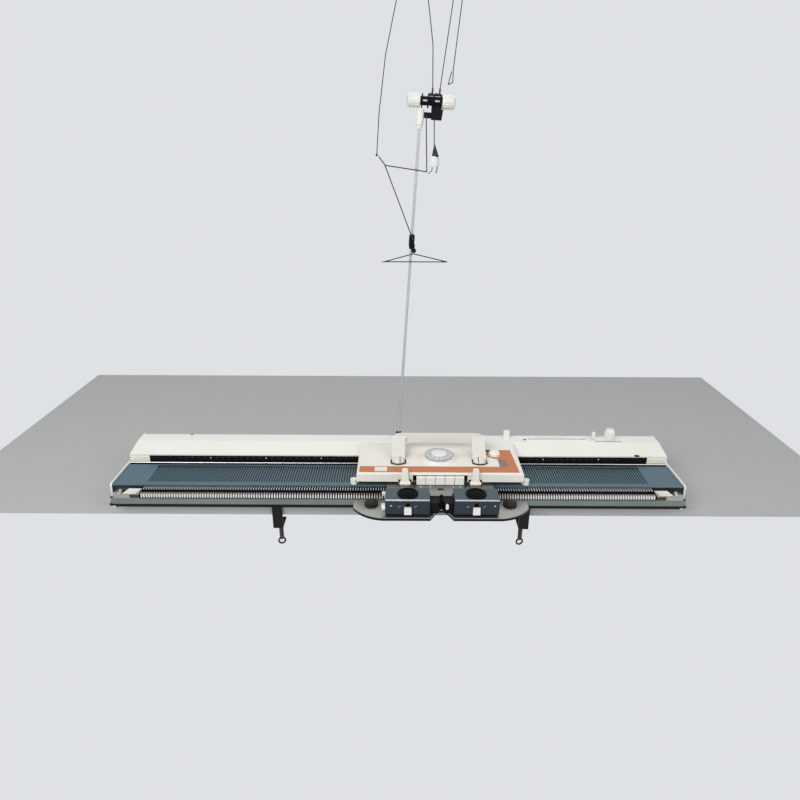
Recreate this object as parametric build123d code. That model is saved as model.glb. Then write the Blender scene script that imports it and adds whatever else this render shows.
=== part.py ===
from build123d import *
import math
import os

os.makedirs("parts", exist_ok=True)

# Origin: centre of the flat underside. X runs along the bed, Y to the back, Z up.

# Bed
needle_pitch = 4.5
needle_count = 200
groove_width = 1.9
bed_length = 1016.0
bed_front = -82.0
bed_rear = 14.0
land_front = -71.0
land_rear = -4.0
land_height = 46.0
groove_depth = 3.0
bed_plate_gauge = 3.0
bed_flange_gauge = 2.0

# Base pan, a folded steel tray
pan_front = -80.0
pan_rear = 80.0
pan_gauge = 1.6
pan_rear_height = 30.0
shelf_height = 17.0
shelf_front = -102.0
lip_height = 20.0

# Front rail and its posts
rail_front = -103.0
rail_depth = 9.0
rail_height = 10.0
rail_gauge = 1.5
rail_corner = 8.0
post_height = 10.0
post_depth = 6.0
post_foot = 2.2
post_tip = 1.3

# Needles
needle_gauge = 1.2
needle_tip_y = -93.0
shank_height = 1.4
hook_length = 3.5
hook_height = 3.0
butt_front = -17.0
butt_rear = -6.0
butt_height = 7.0

# Retainer bar over the needles
retainer_height = 2.2
retainer_gauge = 0.8
retainer_gap = 0.2
sponge_gap = 0.15

# Carriage rail and the strip behind the bed
rear_rail_front = 0.0
rear_rail_width = 4.0
rear_rail_height = 5.5
strip_front = 10.0
strip_gauge = 2.5
strip_inset = 35.0
strip_end_length = 48.0
strip_end_step = 0.8

# Rear cover
cover_front_height = 60.0
deck_front = 54.5
deck_rear = 87.0
deck_height = 68.0
cover_wall = 2.5
cover_corner = 4.0
card_slot_inset = 138.0
card_slot_length = 114.0
card_slot_front = 60.0
card_slot_width = 6.0
slot_lip_height = 2.5
slot_lip_width = 3.0
slot_guide_inset = 14.0
slot_guide_length = 60.0
slot_guide_height = 5.0
slot_peg_radius = 2.0
spare_clip_inset = 294.0
spare_clip_width = 12.0
window_inset = 54.0
window_length = 9.0
window_width = 4.0

# End caps
cap_wall = 3.0
cap_height = 49.0
cap_corner = 6.0
cap_lap = 2.0
cap_block_ridge = 1.2
cap_block_pitch = 4.0
bracket_length = 46.0
bracket_height = 9.0
bracket_gauge = 1.2

# Card feed
knob_inset = 90.0
card_knob_radius = 10.0
card_knob_height = 20.0
card_shaft_radius = 3.0
drum_radius = 8.0
drum_card_gap = 0.5
drum_height = 40.0
drum_pin_count = 8
mitre_radius = 9.0
mitre_face = 3.0
toggle_inset = 122.0
toggle_half = 3.0
toggle_drop = 6.0
toggle_pin_radius = 2.0

# Timing belt
belt_y = 26.0
belt_pulley_inset = 56.0
belt_radius = 9.0
belt_gauge = 1.2
belt_height = 10.0
belt_level = 30.0
stud_radius = 3.0

# Table clamps
clamp_x = 222.8
clamp_shift = 5.7
clamp_width = 18.0
clamp_gauge = 3.0
clamp_drop = 40.0
clamp_reach = 28.0
clamp_tongue = 14.0
clamp_screw_radius = 4.0
clamp_pad_radius = 8.0
clamp_pad_level = -15.4
clamp_screw_length = 62.0

# Yarn mast, built upright and then leaned
mast_y = 75.0
mast_lean = 3.4
rod_radius = 2.5
rod_length = 590.0
rod_socket_depth = 22.0
socket_radius = 7.0
socket_flange_radius = 12.0
wire_radius = 0.9
joint_half = 5.0
wire_gap = 0.2
spring_radius = 0.75
mast_top_radius = 6.0
tension_offset = 16.3
tension_rise = 18.5
tension_body_length = 36.0
tension_body_radius = 7.0
tension_disc_radius = 11.0
takeup_left = (-4.0, 3.0)
takeup_right = (5.0, 15.0)
takeup_pin_rise = 10.0
takeup_pin_radius = 1.2
takeup_coil_radius = 2.4
takeup_collar_radius = 1.4
tension_knob_radius = 10.5
tension_knob_length = 20.5

# Carriage
carriage_x = 74.8
shell_half = 147.5
shell_front = -84.0
shell_rear = 41.0
shell_top = 73.0
shell_wall = 2.5
shell_front_floor = 56.0
shell_floor = 51.5
shell_cover_gap = 1.5
glide_inset = 5.2
shell_back_wall = 8.0
shell_edge = 3.0
plate_floor = 52.0
plate_gauge = 2.0
plate_inset = 4.5
plate_front = -76.0
plate_rear = 5.2
cam_clearance = 0.5
shoe_inset = 37.5
shoe_length = 30.0
rail_clearance = 0.3
glide_radius = 6.0
glide_offset = 5.5
glide_gap = 0.3
label_gauge = 0.5
dial_y = -28.0
dial_radius = 25.5
dial_ring_radius = 32.0
dial_ring_top = 26.5
dial_ring_height = 6.0
dial_height = 5.0
dial_turn_grips = 12
handle_x = 74.0
handle_y = -36.0
handle_axis_z = 68.0
handle_hub_radius = 13.5
handle_hub_width = 23.0
handle_arm_width = 24.0
handle_pin_radius = 2.0
handle_hole_radius = 14.6
change_x = 104.0
change_y = -12.0
change_radius = 10.5
key_count = 5
key_pitch = 16.9
key_gap = 0.7
key_front = -89.0
key_floor = 52.4
key_top = 67.6
key_travel = 3.5
lever_x = 62.0
lever_y = -88.0
lever_axis_z = 55.6
lever_top = 84.0
lever_pin_radius = 1.5
running_fit = 0.05
side_gap = 0.3

# Sinker arm
arm_inner = 20.8
arm_outer = 95.5
arm_front = -156.0
arm_back = -117.0
arm_top = 62.0
arm_floor = 33.0
arm_wall = 2.0
arm_screw_x = 57.5
arm_screw_y = -137.0
thumb_radius = 17.5
thumb_height = 3.0
thumb_recess = 1.0
thumb_shaft_radius = 4.0
bracket_floor = 50.0
arm_tongue_front = -148.0
arm_step = 8.0
sinker_level = 30.0
sinker_gauge = 2.0
sinker_rim = 6.0
sinker_rim_gauge = 1.5
sinker_half = 151.0
sinker_back = -106.0
feeder_step = 10.0
feeder_mouth = 5.0
feeder_post_radius = 2.5
gate_x = 9.0
gate_level = 44.0
brush_x = 120.0
brush_y = -117.0
brush_radius = 12.0
brush_bristles = 12
brush_height = 5.0

half_bed = bed_length / 2
strip_half_length = half_bed - strip_inset
card_slot_right = half_bed - card_slot_inset
card_slot_left = card_slot_right - card_slot_length
knob_x = half_bed - knob_inset
toggle_x = half_bed - toggle_inset
belt_pulley_x = half_bed - belt_pulley_inset
plate_half = shell_half - plate_inset
shoe_x = shell_half - shoe_inset
glide_top = plate_floor + glide_inset
tension_level = rod_length + tension_rise
feed_y = card_slot_front + card_slot_width / 2 + drum_radius + drum_card_gap
groove_floor = land_height - groove_depth
needle_row = needle_pitch * needle_count
cap_outer = half_bed + cap_wall
cover_slope = (deck_height - cover_front_height) / (deck_front - strip_front)


def block(x0, x1, y0, y1, z0, z1):
    return Pos((x0 + x1) / 2, (y0 + y1) / 2, (z0 + z1) / 2) * Box(x1 - x0, y1 - y0, z1 - z0)


def side_profile(points, x0, x1):
    """Extrudes a (y, z) outline from x0 to x1."""
    outline = make_face(Polyline(*points, close=True))
    return extrude(Plane.YZ.offset(x0) * outline, x1 - x0)


def front_profile(points, y0, y1):
    """Extrudes an (x, z) outline from y0 to y1."""
    outline = make_face(Polyline(*points, close=True))
    return extrude(Plane.XZ.offset(-y1) * outline, y1 - y0)


def plan_profile(points, z0, z1):
    """Extrudes an (x, y) outline from z0 to z1."""
    outline = make_face(Polyline(*points, close=True))
    return extrude(Plane.XY.offset(z0) * outline, z1 - z0)


def peg(x, y, z0, z1, radius):
    return Pos(x, y, z0) * Cylinder(radius, z1 - z0, align=(Align.CENTER, Align.CENTER, Align.MIN))


def cross_peg(x0, x1, y, z, radius):
    """A round bar along X."""
    return Pos((x0 + x1) / 2, y, z) * Rot(0, 90, 0) * Cylinder(radius, x1 - x0)


def folded(skin, gauge):
    """Outline of a folded sheet: its outer skin, with the gauge on the left of the path."""
    inner = []
    last = len(skin) - 1
    for i, (u, v) in enumerate(skin):
        ahead = (Vector(*skin[min(i + 1, last)]) - Vector(*skin[min(i, last - 1)])).normalized()
        behind = (Vector(*skin[max(i, 1)]) - Vector(*skin[max(i - 1, 0)])).normalized()
        left_a = Vector(-ahead.Y, ahead.X)
        left_b = Vector(-behind.Y, behind.X)
        mitre = (left_a + left_b) * (gauge / (1 + left_a.dot(left_b)))
        inner.append((u + mitre.X, v + mitre.Y))
    return list(skin) + inner[::-1]


def turned(profile, x, y, z=0.0):
    """Revolves a (radius, height) outline about the upright axis at x, y."""
    outline = make_face(Plane.XZ * Polyline(*profile, close=True))
    return Pos(x, y, z) * revolve(outline, Axis.Z)


def wire(points, radius, bends=0.0):
    """A round wire through 3D points, with one bend radius where it is given."""
    path = FilletPolyline(*points, radius=bends) if bends else Polyline(*points)
    section = Plane(path @ 0, z_dir=path % 0) * Circle(radius)
    return sweep(section, path=path, transition=Transition.RIGHT)


def save(name, shape):
    export_step(shape, f"parts/{name}.step")


# Base and bed


def base_pan():
    skin = [
        (shelf_front, lip_height),
        (shelf_front, shelf_height - pan_gauge),
        (pan_front, shelf_height - pan_gauge),
        (pan_front, 0),
        (pan_rear, 0),
        (pan_rear, pan_rear_height),
    ]
    pan = side_profile(folded(skin, pan_gauge), -half_bed, half_bed)
    slot_floor = pan_gauge
    for side in (-1, 1):
        x = side * clamp_x + clamp_shift
        half = clamp_width / 2 + side_gap
        wall = (pan_front - 1, pan_front + pan_gauge + 0.4)
        pan -= block(x - half, x + half, *wall, slot_floor, slot_floor + clamp_gauge + side_gap)
        pulley_x = side * belt_pulley_x
        pan += peg(pulley_x, belt_y, 0.5, belt_level - side_gap, stud_radius + 2)
        pan += peg(pulley_x, belt_y, 0.5, belt_level + belt_height + 2, stud_radius)
    # The underside stays one flat face
    return pan


def front_rail():
    top = lip_height + rail_height
    back = rail_front + rail_depth
    skin = [(back, top), (rail_front, top), (rail_front, lip_height), (back, lip_height)]
    rail = side_profile(folded(skin, rail_gauge), -half_bed, half_bed)
    plan = Pos(0, rail_front + bed_length / 2) * RectangleRounded(bed_length, bed_length, rail_corner)
    return rail & extrude(plan, 2 * top)


def sinker_comb():
    foot = lip_height + rail_height
    front = rail_front + 1
    posts = []
    for i in range(needle_count + 1):
        x = (i - needle_count / 2) * needle_pitch
        outline = [
            (x - post_foot / 2, foot),
            (x + post_foot / 2, foot),
            (x + post_tip / 2, foot + post_height),
            (x - post_tip / 2, foot + post_height),
        ]
        posts.append(front_profile(outline, front, front + post_depth))
    return Compound(children=[post.solid() for post in posts])


def needle_bed():
    under = groove_floor - bed_plate_gauge
    section = [
        (bed_front, shelf_height),
        (bed_front + bed_flange_gauge, shelf_height),
        (bed_front + bed_flange_gauge, under),
        (bed_rear - bed_plate_gauge, under),
        (bed_rear - bed_plate_gauge, pan_gauge),
        (bed_rear, pan_gauge),
        (bed_rear, groove_floor),
        (bed_front, groove_floor),
    ]
    plate = side_profile(section, -half_bed, half_bed)
    comb = [(-half_bed, under + 1), (-half_bed, land_height)]
    for i in range(needle_count):
        x = (i + 0.5 - needle_count / 2) * needle_pitch
        left, right = x - groove_width / 2, x + groove_width / 2
        comb += [(left, land_height), (left, groove_floor), (right, groove_floor), (right, land_height)]
    comb += [(half_bed, land_height), (half_bed, under + 1)]
    return plate + front_profile(comb, land_front, land_rear)


def needles():
    outline = [
        (needle_tip_y, groove_floor),
        (butt_rear, groove_floor),
        (butt_front + 1, groove_floor + butt_height),
        (butt_front, groove_floor + shank_height),
        (needle_tip_y + hook_length, groove_floor + shank_height),
        (needle_tip_y + hook_length - 1, groove_floor + hook_height),
        (needle_tip_y, groove_floor + hook_height - 1),
    ]
    rows = []
    for i in range(needle_count):
        x = (i + 0.5 - needle_count / 2) * needle_pitch
        rows.append(side_profile(outline, x - needle_gauge / 2, x + needle_gauge / 2))
    return Compound(children=[row.solid() for row in rows])


def needle_retainer():
    floor = groove_floor + shank_height + retainer_gap
    top = floor + retainer_height
    skin = [(land_front, floor), (land_front, top), (bed_front, top), (bed_front, floor)]
    return side_profile(folded(skin, retainer_gauge), -half_bed, half_bed)


def retainer_sponge():
    floor = groove_floor + shank_height + retainer_gap
    inset = retainer_gauge + sponge_gap
    half = needle_row / 2
    top = floor + retainer_height - retainer_gauge
    return block(-half, half, bed_front + inset, land_front - inset, floor, top)


def rear_rail():
    back = rear_rail_front + rear_rail_width
    bar = block(-half_bed, half_bed, rear_rail_front, back, groove_floor, groove_floor + rear_rail_height)
    top_edges = bar.edges().filter_by(Axis.X).group_by(Axis.Z)[-1]
    return fillet(top_edges, rear_rail_width / 4)


def cover_underside(y):
    """Height of the slope's inner face above the bed."""
    return cover_front_height + (y - strip_front) * cover_slope - cover_wall * math.hypot(1, cover_slope)


def scale_strip():
    back = strip_front + strip_gauge
    top = cover_underside(strip_front) - side_gap / 3
    strip = block(-strip_half_length, strip_half_length, strip_front, back, groove_floor, top)
    for side in (-1, 1):
        x0, x1 = sorted((side * (strip_half_length - strip_end_length), side * strip_half_length))
        strip += block(x0, x1, strip_front - strip_end_step, back, groove_floor, top)
    return strip


def card_slot_edges():
    """Lip round the card slot, with the higher guide at its back."""
    back = card_slot_front + card_slot_width
    lip = block(
        card_slot_left - slot_lip_width,
        card_slot_right + slot_lip_width,
        card_slot_front - slot_lip_width,
        back + slot_lip_width,
        deck_height - cover_wall,
        deck_height + slot_lip_height,
    )
    lip = chamfer(lip.edges().group_by(Axis.Z)[-1], 1.0)
    guide_left = card_slot_left + slot_guide_inset
    guide = block(
        guide_left,
        guide_left + slot_guide_length,
        back,
        back + slot_lip_width,
        deck_height,
        deck_height + slot_guide_height,
    )
    return lip + guide


def rear_cover():
    skin = [
        (deck_rear, pan_gauge),
        (deck_rear, deck_height),
        (deck_front, deck_height),
        (strip_front, cover_front_height),
    ]
    cover = side_profile(folded(skin, cover_wall), -half_bed, half_bed)
    corner = cover.edges().filter_by(Axis.X).sort_by_distance((0, deck_rear, deck_height))[0]
    cover = fillet(corner, cover_corner)
    cover += card_slot_edges()
    slot_back = card_slot_front + card_slot_width
    cover -= block(
        card_slot_left, card_slot_right, card_slot_front, slot_back, deck_height - 10, deck_height + 30
    )
    for x in (card_slot_left - 8, card_slot_right + 8):
        cover -= peg(x, feed_y - 6, deck_height - 10, deck_height + 10, slot_peg_radius)
    clip_x = half_bed - spare_clip_inset
    clip = block(
        clip_x - spare_clip_width / 2,
        clip_x + spare_clip_width / 2,
        feed_y - 4,
        feed_y + 4,
        deck_height,
        deck_height + 16,
    )
    cover += fillet(clip.edges().filter_by(Axis.Z), 2)
    cover -= peg(knob_x, feed_y, 0, 100, card_shaft_radius + side_gap)
    toggle_slot = toggle_half + side_gap
    cover -= block(
        toggle_x - toggle_slot, toggle_x + toggle_slot, feed_y - 7, feed_y + 7, deck_height - 10, 100
    )
    window_x = half_bed - window_inset
    window_y = strip_front + window_width
    cover -= block(
        window_x - window_length / 2,
        window_x + window_length / 2,
        window_y - window_width / 2,
        window_y + window_width / 2,
        cover_front_height - 10,
        cover_front_height + 10,
    )
    cover -= peg(0, mast_y, deck_height - 10, deck_height + 10, socket_radius + 1)
    for x in (-170, 170):
        cover += peg(x, feed_y, pan_gauge, deck_height - cover_wall / 2, 5)
    return cover + card_bearings()


def card_bearings():
    """Ribs under the deck that carry the card drum and the toggle."""
    under = deck_height - cover_wall / 2
    rib = 3.0
    ribs = None
    for x in (card_slot_left - rib - side_gap, card_slot_right + side_gap):
        plate = block(x, x + rib, feed_y - 7, feed_y + 7, drum_height - 6, under)
        plate -= cross_peg(x - 1, x + rib + 1, feed_y, drum_height, card_shaft_radius + running_fit)
        ribs = plate if ribs is None else ribs + plate
    pivot = deck_height - toggle_drop
    for side in (-1, 1):
        x0, x1 = sorted((toggle_x + side * (toggle_half + side_gap), toggle_x + side * (toggle_half + 3)))
        plate = block(x0, x1, feed_y - 4, feed_y + 4, pivot - 4, under)
        plate -= cross_peg(x0 - 1, x1 + 1, feed_y, pivot, toggle_pin_radius + running_fit)
        ribs += plate
    return ribs


def end_cap(side):
    """Moulded end plate with the ridged block that ends the strip."""
    low, high = sorted((side * half_bed, side * cap_outer))
    outline = [
        (bed_front - cap_lap, 1),
        (bed_front - cap_lap, cap_height),
        (strip_front, cap_height),
        (strip_front, cover_front_height),
        (deck_front, deck_height),
        (deck_rear, deck_height),
        (deck_rear, 1),
    ]
    cap = side_profile(outline, low, high)
    corner = cap.edges().filter_by(Axis.X).sort_by_distance((0, bed_front - cap_lap, cap_height))[0]
    cap = fillet(corner, cap_corner)
    inner = strip_half_length + side_gap
    ridge_count = 3
    x0, x1 = sorted((side * inner, side * half_bed))
    top = cover_underside(strip_front) - side_gap / 3
    cap += block(x0, x1, strip_front, strip_front + strip_gauge, groove_floor, top)
    x0, x1 = sorted((side * inner, side * (half_bed - cap_lap)))
    for i in range(ridge_count):
        z = groove_floor + cap_block_pitch * (i + 0.5)
        cap += block(x0, x1, strip_front - cap_block_ridge, strip_front, z, z + cap_block_pitch / 2)
    return cap


def corner_brackets():
    """Plated angle at each front corner, from the rail's top to the bed."""
    foot = lip_height + rail_height
    parts = []
    for side in (-1, 1):
        outer = half_bed - rail_corner
        x0, x1 = sorted((side * (outer - bracket_length), side * outer))
        top = foot + bracket_height
        skin = [(bed_front, top), (rail_front + 1, top), (rail_front + 1, foot)]
        sheet = folded(skin, bracket_gauge)
        parts.append(side_profile(sheet, x0, x1).solid())
    return Compound(children=parts)


# Belt and card feed


def timing_belt():
    outer = SlotOverall(2 * (belt_pulley_x + belt_radius + belt_gauge), 2 * (belt_radius + belt_gauge))
    inner = SlotOverall(2 * (belt_pulley_x + belt_radius), 2 * belt_radius)
    return extrude(Pos(0, belt_y, belt_level) * (outer - inner), belt_height)


def belt_pulley(side):
    rim = belt_radius - side_gap
    hub = stud_radius + running_fit
    profile = [
        (hub, belt_level),
        (rim, belt_level),
        (rim, belt_level + belt_height),
        (hub + 1.5, belt_level + belt_height),
        (hub, belt_level + belt_height + 1),
    ]
    pulley = turned(profile, side * belt_pulley_x, belt_y)
    for i in range(4):
        angle = math.radians(90 * i + 45)
        x = side * belt_pulley_x + 6 * math.cos(angle)
        y = belt_y + 6 * math.sin(angle)
        pulley -= peg(x, y, belt_level - 1, belt_level + belt_height + 1, 1.2)
    return pulley


def card_knob():
    """Knob with its upright shaft and the mitre wheel that drives the drum."""
    foot = deck_height + side_gap
    top = foot + card_knob_height
    wheel = drum_height + mitre_radius
    tip = wheel - mitre_face
    profile = [
        (0, tip),
        (mitre_radius - mitre_face - running_fit * 2, tip),
        (mitre_radius - running_fit * 2, wheel),
        (card_shaft_radius, wheel + 1),
        (card_shaft_radius, foot),
        (card_knob_radius, foot),
        (card_knob_radius - 1, top - 3),
        (card_knob_radius - 3, top),
        (0, top),
    ]
    return turned(profile, knob_x, feed_y)


def card_drum():
    """Feed drum with its sprocket pins, on a shaft that ends in a mitre wheel."""
    drum_left = card_slot_left + 4
    drum_right = card_slot_right - 4
    wheel = knob_x - mitre_radius
    tip = wheel + mitre_face
    shaft_end = card_slot_left - 6
    profile = [
        (0, shaft_end),
        (card_shaft_radius, shaft_end),
        (card_shaft_radius, drum_left),
        (drum_radius, drum_left),
        (drum_radius, drum_right),
        (card_shaft_radius, drum_right),
        (card_shaft_radius, wheel - 1),
        (mitre_radius - running_fit * 2, wheel),
        (mitre_radius - mitre_face - running_fit * 2, tip),
        (0, tip),
    ]
    drum = Pos(0, feed_y, drum_height) * Rot(0, 90, 0) * turned(profile, 0, 0)
    for end in (drum_left + 5, drum_right - 5):
        for i in range(drum_pin_count):
            around = Pos(end, feed_y, drum_height) * Rot(360 / drum_pin_count * i, 0, 0)
            drum += around * Pos(0, 0, drum_radius) * Cylinder(1.2, 3)
    return drum


def card_toggle():
    pivot = deck_height - toggle_drop
    top = deck_height + 14
    outline = [(feed_y - 3, pivot), (feed_y + 3, pivot), (feed_y + 3.5, top), (feed_y - 3.5, top)]
    lever = side_profile(outline, toggle_x - toggle_half, toggle_x + toggle_half)
    lever = fillet(lever.edges().filter_by(Axis.X).group_by(Axis.Z)[-1], 2)
    reach = toggle_half + 2.8
    return lever + cross_peg(toggle_x - reach, toggle_x + reach, feed_y, pivot, toggle_pin_radius)


# Table clamps


def clamp_brackets():
    """Steel strips folded to a C, hooked in the pan's front wall."""
    parts = []
    front = pan_front - 2 * clamp_gauge
    for side in (-1, 1):
        x = side * clamp_x + clamp_shift
        skin = [
            (pan_front + clamp_reach, -clamp_drop),
            (front, -clamp_drop),
            (front, pan_gauge + clamp_gauge),
            (pan_front + clamp_tongue, pan_gauge + clamp_gauge),
        ]
        strip = side_profile(folded(skin, -clamp_gauge), x - clamp_width / 2, x + clamp_width / 2)
        screw_y = pan_front + clamp_reach - 10
        strip -= peg(x, screw_y, -clamp_drop - 1, 0, clamp_screw_radius + running_fit)
        parts.append(strip.solid())
    return Compound(children=parts)


def clamp_screw(side):
    x = side * clamp_x + clamp_shift
    y = pan_front + clamp_reach - 10
    foot = clamp_pad_level - clamp_screw_length
    profile = [
        (0, foot),
        (clamp_screw_radius, foot),
        (clamp_screw_radius, clamp_pad_level - 3),
        (clamp_pad_radius, clamp_pad_level - 2.5),
        (clamp_pad_radius, clamp_pad_level),
        (0, clamp_pad_level),
    ]
    ring = Pos(x, y, foot - 5) * Rot(0, 0, 15) * Rot(90, 0, 0) * Torus(6, 1.6)
    return turned(profile, x, y) + ring


# Mast


mast_frame = Pos(0, mast_y, deck_height) * Rot(0, mast_lean, 0)


def mast_point(x, z, forward=0.0):
    """A point given by its real X and height, in the leaning mast's own frame."""
    lean = math.radians(mast_lean)
    rise = z - deck_height
    across = x * math.cos(lean) - rise * math.sin(lean)
    along = x * math.sin(lean) + rise * math.cos(lean)
    return (across, -forward, along)


def mast_socket():
    profile = [
        (rod_radius + running_fit, -rod_socket_depth),
        (socket_radius, -rod_socket_depth),
        (socket_radius, 0.6),
        (socket_flange_radius, 0.8),
        (socket_flange_radius, 2.5),
        (socket_radius - 1, 3.5),
        (socket_radius - 2, 12),
        (rod_radius + running_fit, 12),
    ]
    return mast_frame * turned(profile, 0, 0)


def mast_rod():
    return mast_frame * peg(0, 0, -rod_socket_depth, rod_length, rod_radius)


def mast_joint():
    """Clip that holds the two wire guides on the rod."""
    level = 369.5
    top = level + 25.5
    hole = rod_radius + running_fit
    profile = [(hole, level), (3.6, level), (5, level + 8), (5, top - 4), (3.8, top), (hole, top)]
    sleeve = turned(profile, 0, 0)
    ball_y = -joint_half - 1
    arm = block(0, 6, ball_y, 0, level + 2, level + 10)
    arm = chamfer(arm.edges().filter_by(Axis.Y), 1.5)
    arm += Pos(4.5, ball_y, level - 2) * Sphere(4.4)
    arm -= peg(0, 0, level - 8, top + 1, hole)
    return mast_frame * (sleeve + arm)


def lower_guide():
    """Triangular wire guide under the joint."""
    y = joint_half + 1
    apex = mast_point(26, 429, y)
    left = mast_point(-26, 415, y)
    right = mast_point(86, 415, y)
    frame = wire([apex, left, right], wire_radius)
    closing = wire([right, apex], wire_radius)
    return mast_frame * (frame + closing)


def guide_arm():
    """Wire arm from the joint up to the eyelet, and its cross wire."""
    y = joint_half + wire_radius + wire_gap
    arm = wire([mast_point(25, 453, y), mast_point(-24, 577, y), mast_point(-34, 590, y)], wire_radius)
    cross = wire(
        [mast_point(-24, 576, y), mast_point(47, 566, y), mast_point(44.6, 646, y)],
        wire_radius,
    )
    return mast_frame * (arm + cross)


def mast_top():
    """Tapered holder on the rod's top."""
    hole = rod_radius + running_fit
    top = rod_length + 5
    profile = [
        (hole, top - 30),
        (hole + 1, top - 30),
        (mast_top_radius, top - 20),
        (mast_top_radius, top),
        (0, top),
        (0, rod_length),
        (hole, rod_length),
    ]
    return mast_frame * turned(profile, 0, 0)


def tension_frame():
    """Body between the two tension knobs, with the lug that joins the mast's top."""
    half = tension_body_length / 2
    u = tension_offset
    w = tension_level
    body = cross_peg(u - half, u + half, 0, w, tension_body_radius)
    discs = (-half + 3, takeup_left[0] - 1, takeup_left[1] + 1, takeup_right[1] + 1)
    for offset in discs:
        body += cross_peg(u + offset - 1, u + offset + 1, 0, w, tension_disc_radius)
    pin_level = w + takeup_pin_rise
    body += cross_peg(u + discs[1], u + discs[3], 0, pin_level, takeup_pin_radius)
    shaft = tension_knob_length - 4
    body += cross_peg(u - half - shaft, u + half + shaft, 0, w, 2)
    under_knob = w - tension_knob_radius - 1
    outline = [
        (u + 1, w - 5),
        (u + half - 0.5, w - 5),
        (u + half - 0.5, under_knob),
        (u + half + 2.5, under_knob),
        (u + half + 1, w - 28),
        (u + 2, w - 28),
    ]
    lug = front_profile(outline, -joint_half, joint_half)
    link = block(mast_top_radius + wire_gap, u + 3, -3, 3, w - 26, w - 17)
    return mast_frame * (body + lug + link)


def tension_knob(side):
    half = tension_body_length / 2
    inner = half + side_gap
    outer = inner + tension_knob_length
    hole = 2 + running_fit
    profile = [
        (hole, inner),
        (tension_knob_radius - 0.5, inner),
        (tension_knob_radius, inner + 2),
        (tension_knob_radius - 0.5, outer - 1.5),
        (tension_knob_radius - 2, outer),
        (0, outer),
        (0, outer - 3),
        (hole, outer - 3),
    ]
    knob = revolve(make_face(Plane.XZ * Polyline(*profile, close=True)), Axis.Z)
    return mast_frame * Pos(tension_offset, 0, tension_level) * Rot(0, side * 90, 0) * knob


def takeup_coil(bay):
    """Coiled foot of a take-up wire, free on the pin between two of the discs."""
    level = tension_level + takeup_pin_rise
    x0 = tension_offset + bay[0] + side_gap
    x1 = tension_offset + bay[1] - side_gap
    coil = cross_peg(x0, x1, 0, level, takeup_coil_radius)
    return coil - cross_peg(x0 - 1, x1 + 1, 0, level, takeup_pin_radius + running_fit)


def takeup_root(offset):
    """Point where a take-up wire leaves its coil."""
    return (tension_offset + offset, 0, tension_level + takeup_pin_rise + takeup_pin_radius + 0.5)


def takeup_wire_left():
    root = takeup_root(takeup_left[1] - 2)
    knee = (root[0], 0, root[2] + 8)
    tip = mast_point(-33, 657)
    points = [knee, mast_point(53.5, 756), mast_point(26, 952), mast_point(-22, 741), tip]
    run = wire(points, spring_radius, 20)
    collar = peg(root[0], 0, root[2], root[2] + 8, takeup_collar_radius) + takeup_coil(takeup_left)
    end = mast_point(-37.5, 592)
    return mast_frame * (run + wire([tip, end], spring_radius) + collar + Pos(*end) * Sphere(2))


def takeup_wire_right():
    root = takeup_root(takeup_right[1] - 2)
    knee = (root[0], 0, root[2] + 8)
    points = [knee, mast_point(93, 884), mast_point(105, 884), mast_point(87, 722)]
    run = wire(points, spring_radius, 6)
    collar = peg(root[0], 0, root[2], root[2] + 8, takeup_collar_radius) + takeup_coil(takeup_right)
    hook = [points[-1], mast_point(86.6, 702), mast_point(79.4, 699), mast_point(84.5, 718)]
    return mast_frame * (run + collar + wire(hook, spring_radius))


# Carriage


def on_carriage(shape):
    return Pos(carriage_x, 0, 0) * shape


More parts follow.
